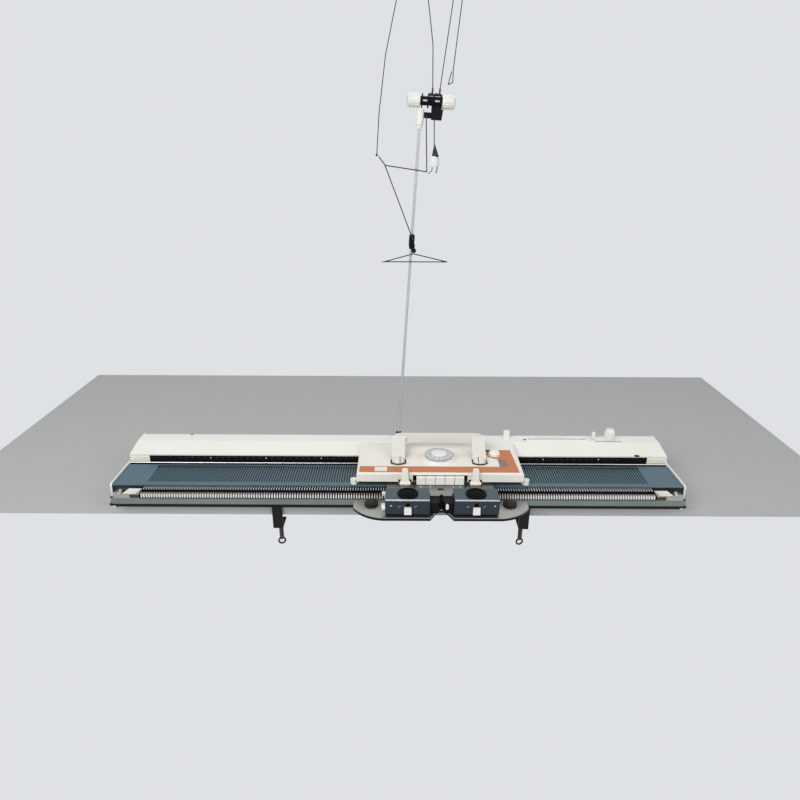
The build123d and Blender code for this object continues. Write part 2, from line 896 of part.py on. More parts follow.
def carriage_shell():
    overhang = cover_front_height + (shell_back_wall - strip_front) * cover_slope + shell_cover_gap
    rear_floor = overhang + (shell_rear - shell_back_wall) * cover_slope
    outline = [
        (shell_front, shell_front_floor),
        (shell_front, shell_top),
        (shell_rear, shell_top),
        (shell_rear, rear_floor),
        (shell_back_wall, overhang),
        (shell_back_wall, shell_floor),
        (plate_front, shell_floor),
        (plate_front, shell_front_floor),
    ]
    shell = side_profile(outline, -shell_half, shell_half)
    shell = fillet(shell.edges().group_by(Axis.Z)[-1], shell_edge)
    hollow = [
        (shell_front + shell_wall, shell_floor - 5),
        (shell_front + shell_wall, shell_top - shell_wall),
        (shell_rear - shell_wall, shell_top - shell_wall),
        (shell_rear - shell_wall, rear_floor + shell_wall - 0.2),
        (shell_back_wall - shell_wall, overhang + shell_wall - 0.6),
        (shell_back_wall - shell_wall, shell_floor - 5),
    ]
    inner = shell_half - shell_wall
    shell -= side_profile(hollow, -inner, inner)
    key_half = key_count * key_pitch / 2 + 6
    front = (shell_front - 1, shell_front + shell_wall + 1)
    shell -= block(-key_half, key_half, *front, shell_front_floor - 1, key_top + 1.5)
    for side in (-1, 1):
        x = side * lever_x
        shell -= block(x - 12, x + 12, *front, shell_front_floor - 1, lever_axis_z + 5)
        corner = block(
            side * shell_half - 7, side * shell_half + 7, shell_front - 1, plate_front + 8, 40, glide_top
        )
        shell -= corner
        shell -= peg(side * handle_x, handle_y, 60, 100, handle_hole_radius)
        for end in (-1, 1):
            ear = side * handle_x + end * (handle_hole_radius + 1)
            shell += block(
                ear - 1, ear + 1, handle_y - 5, handle_y + 5, handle_axis_z - 5, shell_top - shell_wall / 2
            )
        pin = handle_hole_radius + 1
        shell += cross_peg(
            side * handle_x - pin, side * handle_x + pin, handle_y, handle_axis_z, handle_pin_radius
        )
        post_x = side * (plate_half - 10)
        for y in (plate_front + 12, -10):
            shell += peg(post_x, y, plate_floor + plate_gauge, shell_top - shell_wall / 2, 4)
    pocket = Pos(0, dial_y + 2, shell_top - 1) * extrude(RectangleRounded(106, 60, 8), 5)
    shell -= pocket
    pocket_floor = shell_top - 1
    ring = [
        (0, pocket_floor - 0.5),
        (dial_ring_radius, pocket_floor - 0.5),
        (dial_ring_radius, pocket_floor),
        (dial_ring_top, shell_top + dial_ring_height),
        (0, shell_top + dial_ring_height),
    ]
    shell += turned(ring, 0, dial_y)
    shell -= peg(0, dial_y, 60, 90, 4 + side_gap)
    shell -= peg(change_x, change_y, 60, 90, 3 + side_gap)
    return on_carriage(shell)


def label_strip():
    front = shell_front + shell_edge + 0.5
    band_back = front + 21.5
    side_left = change_x + 4
    label_left = shell_half - plate_inset
    label = [
        (-label_left, front),
        (label_left - 3, front),
        (label_left - 7, change_y + 20),
        (change_x - 14, change_y + 20),
        (change_x - 14, change_y - 6),
        (change_x - 4, change_y - 15),
        (side_left, change_y - 17),
        (side_left, band_back),
        (-label_left, band_back),
    ]
    strip = plan_profile(label, shell_top, shell_top + label_gauge)
    strip -= peg(change_x, change_y, 60, 90, change_radius + 1)
    return on_carriage(strip)


def raising_cam(side):
    """Stitch cam: the slope that draws the butts back to the stitch line."""
    return [
        (side * 20, -24),
        (side * 34, -24),
        (side * 78, -62),
        (side * 66, -66),
    ]


def guard_cam(side):
    """Side cam that keeps the butts in their track."""
    return [
        (side * (plate_half - 47), -24),
        (side * (plate_half - 7), -24),
        (side * (plate_half - 7), -40),
        (side * (plate_half - 31), -40),
    ]


def cam_plate():
    top = plate_floor + plate_gauge
    plate = block(-plate_half, plate_half, plate_front, plate_rear, plate_floor, top)
    cam_floor = land_height + cam_clearance
    for side in (-1, 1):
        plate += plan_profile(raising_cam(side), cam_floor, plate_floor)
        plate += plan_profile(guard_cam(side), cam_floor, plate_floor)
        x = side * shoe_x
        rail_top = groove_floor + rear_rail_height
        shoe = block(
            x - shoe_length / 2,
            x + shoe_length / 2,
            rear_rail_front - 1.5,
            plate_rear,
            rail_top - 3,
            plate_floor,
        )
        shoe -= block(
            x - shoe_length,
            x + shoe_length,
            rear_rail_front - rail_clearance,
            rear_rail_front + rear_rail_width + rail_clearance,
            rail_top - 10,
            rail_top + rail_clearance,
        )
        plate += shoe
        pivot = side * lever_x
        for ear in (-1, 1):
            inner = 9 + side_gap
            x0, x1 = sorted((pivot + ear * inner, pivot + ear * (inner + 2)))
            ear_outline = [
                (plate_front + 1, plate_floor),
                (plate_front + 1, lever_axis_z + 2.5),
                (lever_y - 2, lever_axis_z + 2.5),
                (lever_y - 3, lever_axis_z),
                (lever_y - 2, plate_floor + 0.4),
                (plate_front, plate_floor + 0.4),
            ]
            plate += side_profile(ear_outline, x0, x1)
        plate += cross_peg(pivot - 10, pivot + 10, lever_y, lever_axis_z, lever_pin_radius)
    centre = plan_profile([(-9, -30), (9, -30), (0, -58)], cam_floor, plate_floor)
    return on_carriage(plate + centre)


def carriage_glides():
    foot = groove_floor + shank_height + retainer_gap + retainer_height + glide_gap
    parts = []
    for side in (-1, 1):
        x = side * (shell_half + glide_offset)
        glide = peg(x, plate_front, foot, glide_top, glide_radius)
        glide = chamfer(glide.edges().group_by(Axis.Z)[0], 1)
        x0, x1 = sorted((side * plate_half, x))
        glide += block(x0, x1, plate_front - 3, plate_front + 3, plate_floor, glide_top)
        parts.append(on_carriage(glide).solid())
    return Compound(children=parts)


def stitch_dial():
    foot = shell_top + dial_ring_height + side_gap
    top = foot + dial_height
    profile = [
        (0, plate_floor + plate_gauge + side_gap),
        (4, plate_floor + plate_gauge + side_gap),
        (4, foot),
        (dial_radius, foot),
        (dial_radius, foot + 2.5),
        (dial_radius - 1, foot + 3),
        (dial_radius - 7, foot + 3.5),
        (dial_radius - 9, top),
        (0, top),
    ]
    dial = turned(profile, 0, dial_y)
    for i in range(dial_turn_grips):
        around = Pos(0, dial_y, top) * Rot(0, 0, 360 / dial_turn_grips * i)
        dial -= around * Pos(dial_radius - 8, 0, 0) * Cylinder(1.6, 5)
    return on_carriage(dial)


def handle():
    """Folding carrying handle: two hubs, two broad arms and the cross bar."""
    outer = handle_x + handle_arm_width / 2
    inner = outer - handle_arm_width
    bar_back = 20.0
    bar_front = 5.0
    span = bar_back - handle_y
    plan = Pos(0, (handle_y + bar_back) / 2) * RectangleRounded(2 * outer, span, 18)
    plan += Pos(0, handle_y + 10) * Rectangle(2 * outer, 20)
    window = Pos(0, (handle_y - 40 + bar_front) / 2)
    plan -= window * RectangleRounded(2 * inner, bar_front - handle_y + 40, 10)
    side = [
        (handle_y + 2, handle_axis_z + 6),
        (handle_y + 40, 93),
        (bar_back, 95),
        (bar_back, 103),
        (bar_front, 103),
        (handle_y + 34, 101),
        (handle_y + 6, handle_axis_z + 13),
    ]
    arms = side_profile(side, -outer, outer) & extrude(plan, 150)
    half = handle_hub_width / 2
    for end in (-1, 1):
        x = end * handle_x
        ball = Pos(x, handle_y, handle_axis_z) * Sphere(handle_hub_radius)
        arms += ball & cross_peg(x - half, x + half, handle_y, handle_axis_z, handle_hub_radius + 1)
        bore = handle_pin_radius + running_fit
        arms -= cross_peg(x - half - 1, x + half + 1, handle_y, handle_axis_z, bore)
    return on_carriage(arms)


def change_knob():
    foot = shell_top + label_gauge + side_gap
    profile = [
        (0, plate_floor + plate_gauge + side_gap),
        (3, plate_floor + plate_gauge + side_gap),
        (3, foot),
        (change_radius, foot),
        (change_radius, foot + 4),
        (change_radius - 2, foot + 7),
        (change_radius - 6, foot + 9),
        (0, foot + 9.5),
    ]
    return on_carriage(turned(profile, change_x, change_y))


def key(index):
    x = (index - (key_count - 1) / 2) * key_pitch
    half = (key_pitch - key_gap) / 2
    head = block(x - half, x + half, key_front, key_front + 5.5, key_floor, key_top)
    head = fillet(head.edges().group_by(Axis.Y)[0], 1.0)
    stem_floor = plate_floor + plate_gauge + side_gap
    stem = block(x - 3, x + 3, key_front + 5, plate_front + 18, stem_floor, stem_floor + 4)
    return on_carriage(head + stem)


def lever(side):
    x = side * lever_x
    foot = plate_floor + 0.6
    outline = [
        (x - 9, foot),
        (x + 9, foot),
        (x + 9, foot + 5),
        (x + 6, foot + 10),
        (x + 5.2, lever_top),
        (x - 5.2, lever_top),
        (x - 6, foot + 10),
        (x - 9, foot + 5),
    ]
    bar = front_profile(outline, lever_y - 2, lever_y + 2)
    bar = fillet(bar.edges().group_by(Axis.Z)[-1].filter_by(Axis.Y), 3)
    bar += cross_peg(x - 9, x + 9, lever_y, lever_axis_z, 3)
    bar -= cross_peg(x - 12, x + 12, lever_y, lever_axis_z, lever_pin_radius + running_fit)
    return on_carriage(bar)


# Sinker arm


def arm_bracket():
    top = plate_floor
    plate = block(-arm_outer + 2, arm_outer - 2, arm_back, plate_front + 5, bracket_floor, top)
    plate += block(-arm_inner + 2, arm_inner - 2, arm_back - arm_step, arm_back, bracket_floor, top)
    for side in (-1, 1):
        inner = arm_inner + arm_wall + 2
        outer = arm_outer - arm_wall - 2
        x0, x1 = sorted((side * inner, side * outer))
        plate += block(x0, x1, arm_tongue_front, arm_back, bracket_floor, top)
        hole = thumb_shaft_radius + running_fit
        plate -= peg(side * arm_screw_x, arm_screw_y, bracket_floor - 1, top + 1, hole)
    return on_carriage(plate)


def sinker_plate():
    """Curved plate under the arm with its turned-down rim and the brushes' studs."""
    half = sinker_half
    outline = Polyline((half, -126), (half, sinker_back), (-half, sinker_back), (-half, -126))
    left = ThreePointArc((-half, -126), (-132, -148), (-100, -160))
    right = ThreePointArc((100, -160), (132, -148), (half, -126))
    notch = Polyline((-100, -160), (-20, -160), (-6, -134), (6, -134), (20, -160), (100, -160))
    face = make_face([outline, left, notch, right])
    plate = extrude(Pos(0, 0, sinker_level - sinker_gauge) * face, sinker_gauge)
    rim = face - offset(face, -sinker_rim_gauge)
    rim = extrude(Pos(0, 0, sinker_level - sinker_rim) * rim, sinker_rim)
    plate += rim & block(-half - 1, half + 1, -170, -112, 0, sinker_level)
    for side in (-1, 1):
        for x in (arm_inner + 16, arm_outer - 16):
            plate += peg(side * x, arm_front + 14, sinker_level - 1, bracket_floor, 4)
        stud_x = side * brush_x
        top = sinker_level + brush_height + side_gap
        plate += peg(stud_x, brush_y, sinker_level - 1, top + 0.5, stud_radius)
    return on_carriage(plate)


def arm_cover(side):
    x0, x1 = sorted((side * arm_inner, side * arm_outer))
    outline = [
        (arm_back, arm_floor),
        (arm_back, arm_top),
        (arm_front + 3, arm_top),
        (arm_front, arm_top - 3),
        (arm_front + 2, arm_floor),
    ]
    cover = side_profile(outline, x0, x1)
    hollow = [
        (arm_back - arm_wall, arm_floor - 1),
        (arm_back - arm_wall, arm_top - arm_wall),
        (arm_front + 4, arm_top - arm_wall),
        (arm_front + arm_wall, arm_top - 4),
        (arm_front + 2 + arm_wall, arm_floor - 1),
    ]
    cover -= side_profile(hollow, x0 + arm_wall, x1 - arm_wall)
    gap = side_gap / 2
    cover -= block(
        x0 + arm_wall, x1 - arm_wall, arm_back - 5, arm_back + 1, bracket_floor - gap, plate_floor + gap
    )
    hole = thumb_shaft_radius + running_fit
    cover -= peg(side * arm_screw_x, arm_screw_y, arm_floor, arm_top + 1, hole)
    slot_x = side * arm_screw_x
    cover -= block(slot_x - 3.3, slot_x + 3.3, arm_front - 1, arm_front + 6, 37, 57)
    return on_carriage(cover)


def thumb_screw(side):
    foot = arm_top + side_gap
    profile = [
        (0, bracket_floor - 3),
        (thumb_shaft_radius, bracket_floor - 3),
        (thumb_shaft_radius, foot),
        (thumb_radius - 1, foot),
        (thumb_radius, foot + 1),
        (thumb_radius, foot + thumb_height - 1),
        (thumb_radius - 1, foot + thumb_height),
        (thumb_radius - 4, foot + thumb_height),
        (thumb_radius - 6, foot + thumb_height - thumb_recess),
        (0, foot + thumb_height - thumb_recess),
    ]
    return on_carriage(turned(profile, side * arm_screw_x, arm_screw_y))


def arm_slide(side):
    """Slider on the arm's front, with a neck through the slot and a foot behind it."""
    x = side * arm_screw_x
    lean = 2 / (arm_top - 3 - arm_floor)
    level = 41.0

    def face_y(z):
        return arm_front + (arm_top - 3 - z) * lean

    gap = side_gap
    head = [
        (face_y(level - 6) - 5, level - 6),
        (face_y(level - 6) - gap, level - 6),
        (face_y(level + 7) - gap, level + 7),
        (face_y(level + 7) - 4, level + 7),
    ]
    slide = side_profile(head, x - 6, x + 6)
    back = face_y(level) + arm_wall + gap
    slide += block(x - 3, x + 3, face_y(level) - gap - 1, back + 1, level - 3, level + 3)
    slide += block(x - 5, x + 5, back + 0.3, back + 2, level - 4, level + 4)
    return on_carriage(slide)


def yarn_feeder():
    """Black centre block with the yarn slot, and the small post behind it."""
    reach = arm_inner - side_gap
    front = arm_front + feeder_step
    plan = [
        (-reach, arm_back - side_gap),
        (-reach, front),
        (-feeder_mouth, front),
        (-2, front + 13),
        (2, front + 13),
        (feeder_mouth, front),
        (reach, front),
        (reach, arm_back - side_gap),
    ]
    feeder = plan_profile(plan, sinker_level, bracket_floor)
    feeder += peg(0, front + 17, bracket_floor - 1, bracket_floor + 6, feeder_post_radius)
    bore = Pos(gate_x, front, gate_level) * Rot(90, 0, 0) * Cylinder(1 + running_fit, 9)
    return on_carriage(feeder - bore)


def feeder_gate():
    front = arm_front + feeder_step
    oval = Pos(gate_x, front - side_gap, gate_level) * Rot(90, 0, 0)
    gate = oval * extrude(SlotOverall(10, 5, rotation=90), 2.4)
    gate += Pos(gate_x, front + 1, gate_level) * Rot(90, 0, 0) * Cylinder(1, 5)
    return on_carriage(gate)


def arm_pegs():
    parts = []
    for y, z, radius in ((arm_front + 7, 45, 6), (arm_back - 5, 54, 4)):
        parts.append(on_carriage(cross_peg(-arm_outer - 6, -arm_outer, y, z, radius)).solid())
    return Compound(children=parts)


def brush(side):
    foot = sinker_level + side_gap
    wheel = turned(
        [
            (stud_radius + running_fit, foot),
            (7, foot),
            (7, foot + brush_height),
            (stud_radius + running_fit, foot + brush_height),
        ],
        side * brush_x,
        brush_y,
    )
    for i in range(brush_bristles):
        around = Pos(side * brush_x, brush_y, foot + brush_height / 2) * Rot(0, 0, 360 / brush_bristles * i)
        tuft = Pos((brush_radius + 6) / 2, 0, 0) * Box(brush_radius - 6, 2.4, 3)
        wheel += around * tuft
    return on_carriage(wheel)


save("base_pan", base_pan())
save("front_rail", front_rail())
save("sinker_comb", sinker_comb())
save("needle_bed", needle_bed())
save("needles", needles())
save("needle_retainer", needle_retainer())
save("retainer_sponge", retainer_sponge())
save("rear_rail", rear_rail())
save("scale_strip", scale_strip())
save("rear_cover", rear_cover())
save("end_cap_left", end_cap(-1))
save("end_cap_right", end_cap(1))
save("corner_brackets", corner_brackets())
save("timing_belt", timing_belt())
save("belt_pulley_left", belt_pulley(-1))
save("belt_pulley_right", belt_pulley(1))
save("card_knob", card_knob())
save("card_drum", card_drum())
save("card_toggle", card_toggle())
save("clamp_brackets", clamp_brackets())
save("clamp_screw_left", clamp_screw(-1))
save("clamp_screw_right", clamp_screw(1))
save("mast_socket", mast_socket())
save("mast_rod", mast_rod())
save("mast_joint", mast_joint())
save("lower_guide", lower_guide())
save("guide_arm", guide_arm())
save("mast_top", mast_top())
save("tension_frame", tension_frame())
save("tension_knob_left", tension_knob(-1))
save("tension_knob_right", tension_knob(1))
save("takeup_wire_left", takeup_wire_left())
save("takeup_wire_right", takeup_wire_right())
save("carriage_shell", carriage_shell())
save("label_strip", label_strip())
save("cam_plate", cam_plate())
save("carriage_glides", carriage_glides())
save("stitch_dial", stitch_dial())
save("handle", handle())
save("change_knob", change_knob())
for index in range(key_count):
    save(f"key_{index + 1}", key(index))
save("lever_left", lever(-1))
save("lever_right", lever(1))
save("arm_bracket", arm_bracket())
save("sinker_plate", sinker_plate())
save("arm_cover_left", arm_cover(-1))
save("arm_cover_right", arm_cover(1))
save("thumb_screw_left", thumb_screw(-1))
save("thumb_screw_right", thumb_screw(1))
save("arm_slide_left", arm_slide(-1))
save("arm_slide_right", arm_slide(1))
save("yarn_feeder", yarn_feeder())
save("feeder_gate", feeder_gate())
save("arm_pegs", arm_pegs())
save("brush_left", brush(-1))
save("brush_right", brush(1))
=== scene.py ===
import math

import bpy
from mathutils import Matrix, Vector


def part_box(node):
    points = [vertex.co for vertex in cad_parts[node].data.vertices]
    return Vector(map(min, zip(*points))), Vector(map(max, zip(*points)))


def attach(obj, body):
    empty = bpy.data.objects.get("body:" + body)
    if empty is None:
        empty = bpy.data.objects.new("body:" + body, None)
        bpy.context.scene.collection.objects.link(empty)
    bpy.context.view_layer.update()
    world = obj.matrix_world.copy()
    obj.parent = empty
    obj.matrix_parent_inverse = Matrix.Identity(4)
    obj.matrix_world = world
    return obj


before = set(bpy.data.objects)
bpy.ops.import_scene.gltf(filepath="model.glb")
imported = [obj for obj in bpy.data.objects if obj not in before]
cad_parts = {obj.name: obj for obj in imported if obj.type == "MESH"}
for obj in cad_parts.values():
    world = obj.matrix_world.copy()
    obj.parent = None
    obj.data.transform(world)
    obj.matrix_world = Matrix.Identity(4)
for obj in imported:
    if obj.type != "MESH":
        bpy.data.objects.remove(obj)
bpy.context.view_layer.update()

bpy.ops.object.select_all(action="DESELECT")


# Camera: stands about a metre in front of the bench edge at eye height for
# someone seated, and looks down along the whole bed.
def turned(axis, degrees):
    """Matrix that turns about an axis through the origin."""
    return Matrix.Rotation(math.radians(degrees), 4, axis)


eye_place = (0.0059, -1.0752, 0.6119)
eye_heading = 0.141
eye_drop = 21.987
eye_roll = 0.199
sensor_width = 36.0
focal_pixels = 638.1
picture_pixels = 800
camera_data = bpy.data.cameras.new("camera")
camera_data.sensor_width = sensor_width
camera_data.lens = sensor_width * focal_pixels / picture_pixels
camera_data.clip_end = 50.0
camera = bpy.data.objects.new("camera", camera_data)
bpy.context.scene.collection.objects.link(camera)
look = turned("Z", eye_heading) @ turned("X", 90 - eye_drop)
camera.matrix_world = Matrix.Translation(eye_place) @ look @ turned("Z", eye_roll)
bpy.context.scene.camera = camera
bpy.context.scene.view_settings.view_transform = "Standard"


# Stage: a pale slab whose front edge the two clamps grip, and a pale floor far
# below that runs into a pale backdrop. None of it is part of the machine.
def blank(name):
    """A new material, with its node tree and its shader."""
    material = bpy.data.materials.new(name)
    material.use_nodes = True
    tree = material.node_tree
    return material, tree, tree.nodes["Principled BSDF"]


def object_place(tree):
    """The socket that gives each point's place in the object."""
    return tree.nodes.new("ShaderNodeTexCoord").outputs["Object"]


def noise(tree, place, scale, detail):
    """Soft noise over the place, from 0 to 1."""
    texture = tree.nodes.new("ShaderNodeTexNoise")
    texture.inputs["Scale"].default_value = scale
    texture.inputs["Detail"].default_value = detail
    tree.links.new(place, texture.inputs["Vector"])
    return texture.outputs["Fac"]


def toned(tree, amount, low_at, low, high_at, high):
    """Blends the base colour from a low tone to a high one as the amount grows."""
    ramp = tree.nodes.new("ShaderNodeValToRGB")
    ramp.color_ramp.elements[0].position = low_at
    ramp.color_ramp.elements[1].position = high_at
    ramp.color_ramp.elements[0].color = (*low, 1)
    ramp.color_ramp.elements[1].color = (*high, 1)
    tree.links.new(amount, ramp.inputs["Fac"])
    tree.links.new(ramp.outputs["Color"], tree.nodes["Principled BSDF"].inputs["Base Color"])


def stage_finish(name, tone):
    """Matt paint of an even grey."""
    material, tree, shader = blank(name)
    shader.inputs["Roughness"].default_value = 0.9
    shader.inputs["Specular IOR Level"].default_value = 0.1
    grain = noise(tree, object_place(tree), 3.0, 2.0)
    toned(tree, grain, 0.0, [tone * 0.985] * 3, 1.0, [tone] * 3)
    return material


slab_place = (0, 0.27, -0.0075)
slab_size = (1.7, 0.70, 0.015)
bpy.ops.mesh.primitive_cube_add(size=1, location=slab_place, scale=slab_size)
slab = bpy.context.object
slab.name = "stage_slab"
bpy.ops.object.transform_apply(location=True, rotation=True, scale=True)
slab.data.materials.append(stage_finish("stage_slab_paint", 0.46))
floor_place = (0, 20.0, -0.72)
floor_width = 60
bpy.ops.mesh.primitive_plane_add(size=floor_width, location=floor_place)
floor = bpy.context.object
floor.name = "stage_floor"
bpy.ops.object.transform_apply(location=True, rotation=True, scale=True)
floor_paint = stage_finish("stage_floor_paint", 0.80)
floor.data.materials.append(floor_paint)
backdrop = (0.74, 0.76, 0.78, 1)


def backdrop_seen(tree, lit, shown, out):
    """The eye, metal and glass see the pale backdrop, all other light what is really lit."""
    rays = tree.nodes.new("ShaderNodeLightPath")
    metal = tree.nodes.new("ShaderNodeMath")
    metal.operation = "MAXIMUM"
    clear = tree.nodes.new("ShaderNodeMath")
    clear.operation = "MAXIMUM"
    blend = tree.nodes.new("ShaderNodeMixShader")
    tree.links.new(rays.outputs["Is Camera Ray"], metal.inputs[0])
    tree.links.new(rays.outputs["Is Glossy Ray"], metal.inputs[1])
    tree.links.new(metal.outputs["Value"], clear.inputs[0])
    tree.links.new(rays.outputs["Is Transmission Ray"], clear.inputs[1])
    tree.links.new(clear.outputs["Value"], blend.inputs["Fac"])
    tree.links.new(lit, blend.inputs[1])
    tree.links.new(shown, blend.inputs[2])
    tree.links.new(blend.outputs["Shader"], out.inputs["Surface"])


floor_tree = floor_paint.node_tree
pale = floor_tree.nodes.new("ShaderNodeEmission")
pale.inputs["Color"].default_value = backdrop
pale.inputs["Strength"].default_value = 1.0
floor_lit = floor_tree.nodes["Principled BSDF"].outputs["BSDF"]
backdrop_seen(floor_tree, floor_lit, pale.outputs["Emission"], floor_tree.nodes["Material Output"])

world = bpy.data.worlds.new("studio")
bpy.context.scene.world = world
world.use_nodes = True
sky = world.node_tree.nodes["Background"]
sky.inputs["Color"].default_value = (0.93, 0.94, 0.96, 1)
sky.inputs["Strength"].default_value = 0.42
seen = world.node_tree.nodes.new("ShaderNodeBackground")
seen.inputs["Color"].default_value = backdrop
seen.inputs["Strength"].default_value = 1.0
world_out = world.node_tree.nodes["World Output"]
backdrop_seen(world.node_tree, sky.outputs["Background"], seen.outputs["Background"], world_out)


def soft_lamp(name, place, aim, size, power):
    """Hangs an area lamp that faces a point; lengths in metres, power in watts."""
    data = bpy.data.lights.new(name, "AREA")
    data.shape = "RECTANGLE"
    data.size, data.size_y = size
    data.energy = power
    lamp = bpy.data.objects.new(name, data)
    bpy.context.scene.collection.objects.link(lamp)
    lamp.location = place
    lamp.rotation_euler = (Vector(aim) - Vector(place)).to_track_quat("-Z", "Y").to_euler()


soft_lamp("key_lamp", (-1.2, -1.7, 1.7), (0, 0, 0.05), (1.8, 1.4), 44)
soft_lamp("fill_lamp", (1.6, -1.3, 1.3), (0, 0, 0.1), (1.6, 1.6), 16)
soft_lamp("rear_lamp", (0.2, 1.7, 2.0), (0, 0.05, 0.2), (2.2, 1.0), 8)


# Base pan: a long tray folded from sheet steel and enamelled satin black.
# Its front shelf carries the rail and shows as a thin dark trim.
def glossed(tree, amount, low, high):
    """Spreads the roughness between two values as the amount grows."""
    sheen = tree.nodes.new("ShaderNodeMapRange")
    sheen.inputs["To Min"].default_value = low
    sheen.inputs["To Max"].default_value = high
    tree.links.new(amount, sheen.inputs["Value"])
    tree.links.new(sheen.outputs["Result"], tree.nodes["Principled BSDF"].inputs["Roughness"])


def embossed(tree, height, strength, distance):
    """Adds a fine relief that follows the height."""
    bump = tree.nodes.new("ShaderNodeBump")
    bump.inputs["Strength"].default_value = strength
    bump.inputs["Distance"].default_value = distance
    tree.links.new(height, bump.inputs["Height"])
    tree.links.new(bump.outputs["Normal"], tree.nodes["Principled BSDF"].inputs["Normal"])


def painted(name, colour, roughness, wear=0.06, gloss=0.5):
    """Sprayed and baked enamel: slight orange peel, faint cloudiness, rubbed patches."""
    material, tree, shader = blank(name)
    shader.inputs["Specular IOR Level"].default_value = gloss
    place = object_place(tree)
    clouds = noise(tree, place, 14.0, 4.0)
    dark = [c * (1 - wear) for c in colour]
    light = [min(1.0, c * (1 + wear)) for c in colour]
    toned(tree, clouds, 0.3, dark, 0.75, light)
    glossed(tree, clouds, roughness - 0.07, roughness + 0.09)
    embossed(tree, noise(tree, place, 900.0, 1.0), 0.06, 0.0002)
    return material


def dress(node, material):
    """Gives a node of the frame its finish."""
    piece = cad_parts[node]
    piece.data.materials.clear()
    piece.data.materials.append(material)


black_enamel = painted("black_enamel", (0.008, 0.008, 0.009), 0.45, gloss=0.2)
dress("base_pan", black_enamel)


# Front rail: a folded channel in grey-green enamel along the front edge,
# which holds the row of sinker posts. Behind its front face its colour is
# painted dark as shade.
def zoned(material, axis, edge, dark, beyond=False):
    """Below a level along one axis, or beyond it, the colour turns to a darker one."""
    tree = material.node_tree
    base = tree.nodes["Principled BSDF"].inputs["Base Color"]
    before = base.links[0].from_socket
    split = tree.nodes.new("ShaderNodeSeparateXYZ")
    side = tree.nodes.new("ShaderNodeMath")
    side.operation = "GREATER_THAN" if beyond else "LESS_THAN"
    side.inputs[1].default_value = edge
    mix = tree.nodes.new("ShaderNodeMix")
    mix.data_type = "RGBA"
    mix.inputs["B"].default_value = (*dark, 1)
    tree.links.new(object_place(tree), split.inputs["Vector"])
    tree.links.new(split.outputs[axis], side.inputs[0])
    tree.links.new(side.outputs["Value"], mix.inputs["Factor"])
    tree.links.new(before, mix.inputs["A"])
    tree.links.new(mix.outputs["Result"], base)


rail_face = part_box("front_rail")[0][1]
rail_sheet = 0.0016
rail_enamel = painted("rail_enamel", (0.16, 0.19, 0.175), 0.40, 0.10)
zoned(rail_enamel, "Y", rail_face + rail_sheet, (0.05, 0.045, 0.045), beyond=True)
dress("front_rail", rail_enamel)


# Sinker posts: pressed steel strips, nickel plated, one in each gap between
# two needles, riveted in the front rail. Bright only over their middle height:
# above and below it their colour is painted darker as shade.
def plated(name, colour, roughness, streak=0.10, along="X", metal=1.0, scale=260.0):
    """Bright plated steel: fine drawing lines along the piece and soft patches."""
    material, tree, shader = blank(name)
    shader.inputs["Metallic"].default_value = metal
    stretch = tree.nodes.new("ShaderNodeMapping")
    stretch.inputs["Scale"].default_value = [0.04 if axis == along else 1.0 for axis in "XYZ"]
    tree.links.new(object_place(tree), stretch.inputs["Vector"])
    lines = noise(tree, stretch.outputs["Vector"], scale, 3.0)
    toned(tree, lines, 0.25, [c * (1 - streak) for c in colour], 0.8, colour)
    glossed(tree, lines, max(0.05, roughness - 0.08), roughness + 0.10)
    embossed(tree, lines, 0.04, 0.0001)
    return material


post_shade_below = 0.0325
post_shade_above = 0.0393
post_nickel = plated("post_nickel", (0.96, 0.95, 0.92), 0.40, metal=0.2)
zoned(post_nickel, "Z", post_shade_below, (0.13, 0.14, 0.15))
zoned(post_nickel, "Z", post_shade_above, (0.38, 0.36, 0.35), beyond=True)
dress("sinker_comb", post_nickel)


# Needle bed: a thick steel plate with 200 milled grooves, enamelled blue-grey.
# It stands on its two flanges in the pan. Below its top face its colour is
# painted near black as shade, inside the grooves and down its faces.
bed_blue = (0.070, 0.128, 0.160)
bed_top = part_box("needle_bed")[1][2]
groove_shade_depth = 0.0003
bed_enamel = painted("bed_enamel", bed_blue, 0.40, 0.09, gloss=0.38)
zoned(bed_enamel, "Z", bed_top - groove_shade_depth, (0.004, 0.006, 0.008))
dress("needle_bed", bed_enamel)


# Needles: 200 latch needles of spring steel that lie in the grooves. Behind
# their tips, where they lie in the grooves, they are painted near black as
# shade. Each has a small latch that swings on a pin behind its hook.
needle_pitch = 4.5
needle_count = 200
needle_shade = -0.0815
needle_steel = plated("needle_steel", (0.74, 0.71, 0.69), 0.32, 0.18, "Y", metal=0.7)
zoned(needle_steel, "Y", needle_shade, (0.010, 0.012, 0.014), beyond=True)
dress("needles", needle_steel)
right = (1, 0, 0)
back = (0, 1, 0)
front = (0, -1, 0)
up = (0, 0, 1)
down = (0, 0, -1)


def mm(*values):
    """Lengths in millimetres as metres."""
    return tuple(value / 1000 for value in values)


def moved(x, y, z):
    """Matrix that moves by lengths in millimetres."""
    return Matrix.Translation(mm(x, y, z))


def bar(name, place, size, tilt=0):
    """Starts a piece as a cube of a real size, tilted about X where its seat is."""
    bpy.ops.object.select_all(action="DESELECT")
    bpy.ops.mesh.primitive_cube_add(
        size=1, location=mm(*place), rotation=(math.radians(tilt), 0, 0), scale=mm(*size)
    )
    bpy.ops.object.transform_apply(location=True, rotation=True, scale=True)
    piece = bpy.context.object
    piece.name = name
    return piece


def pick(piece, test=None):
    """Enters edit mode with all faces selected, or those whose centre and normal pass the test."""
    bpy.ops.object.select_all(action="DESELECT")
    piece.select_set(True)
    bpy.context.view_layer.objects.active = piece
    bpy.ops.object.mode_set(mode="EDIT")
    bpy.ops.mesh.select_mode(type="FACE")
    bpy.ops.mesh.select_all(action="DESELECT")
    bpy.ops.object.mode_set(mode="OBJECT")
    for polygon in piece.data.polygons:
        polygon.select = test is None or bool(test(polygon.center, polygon.normal))
    bpy.ops.object.mode_set(mode="EDIT")


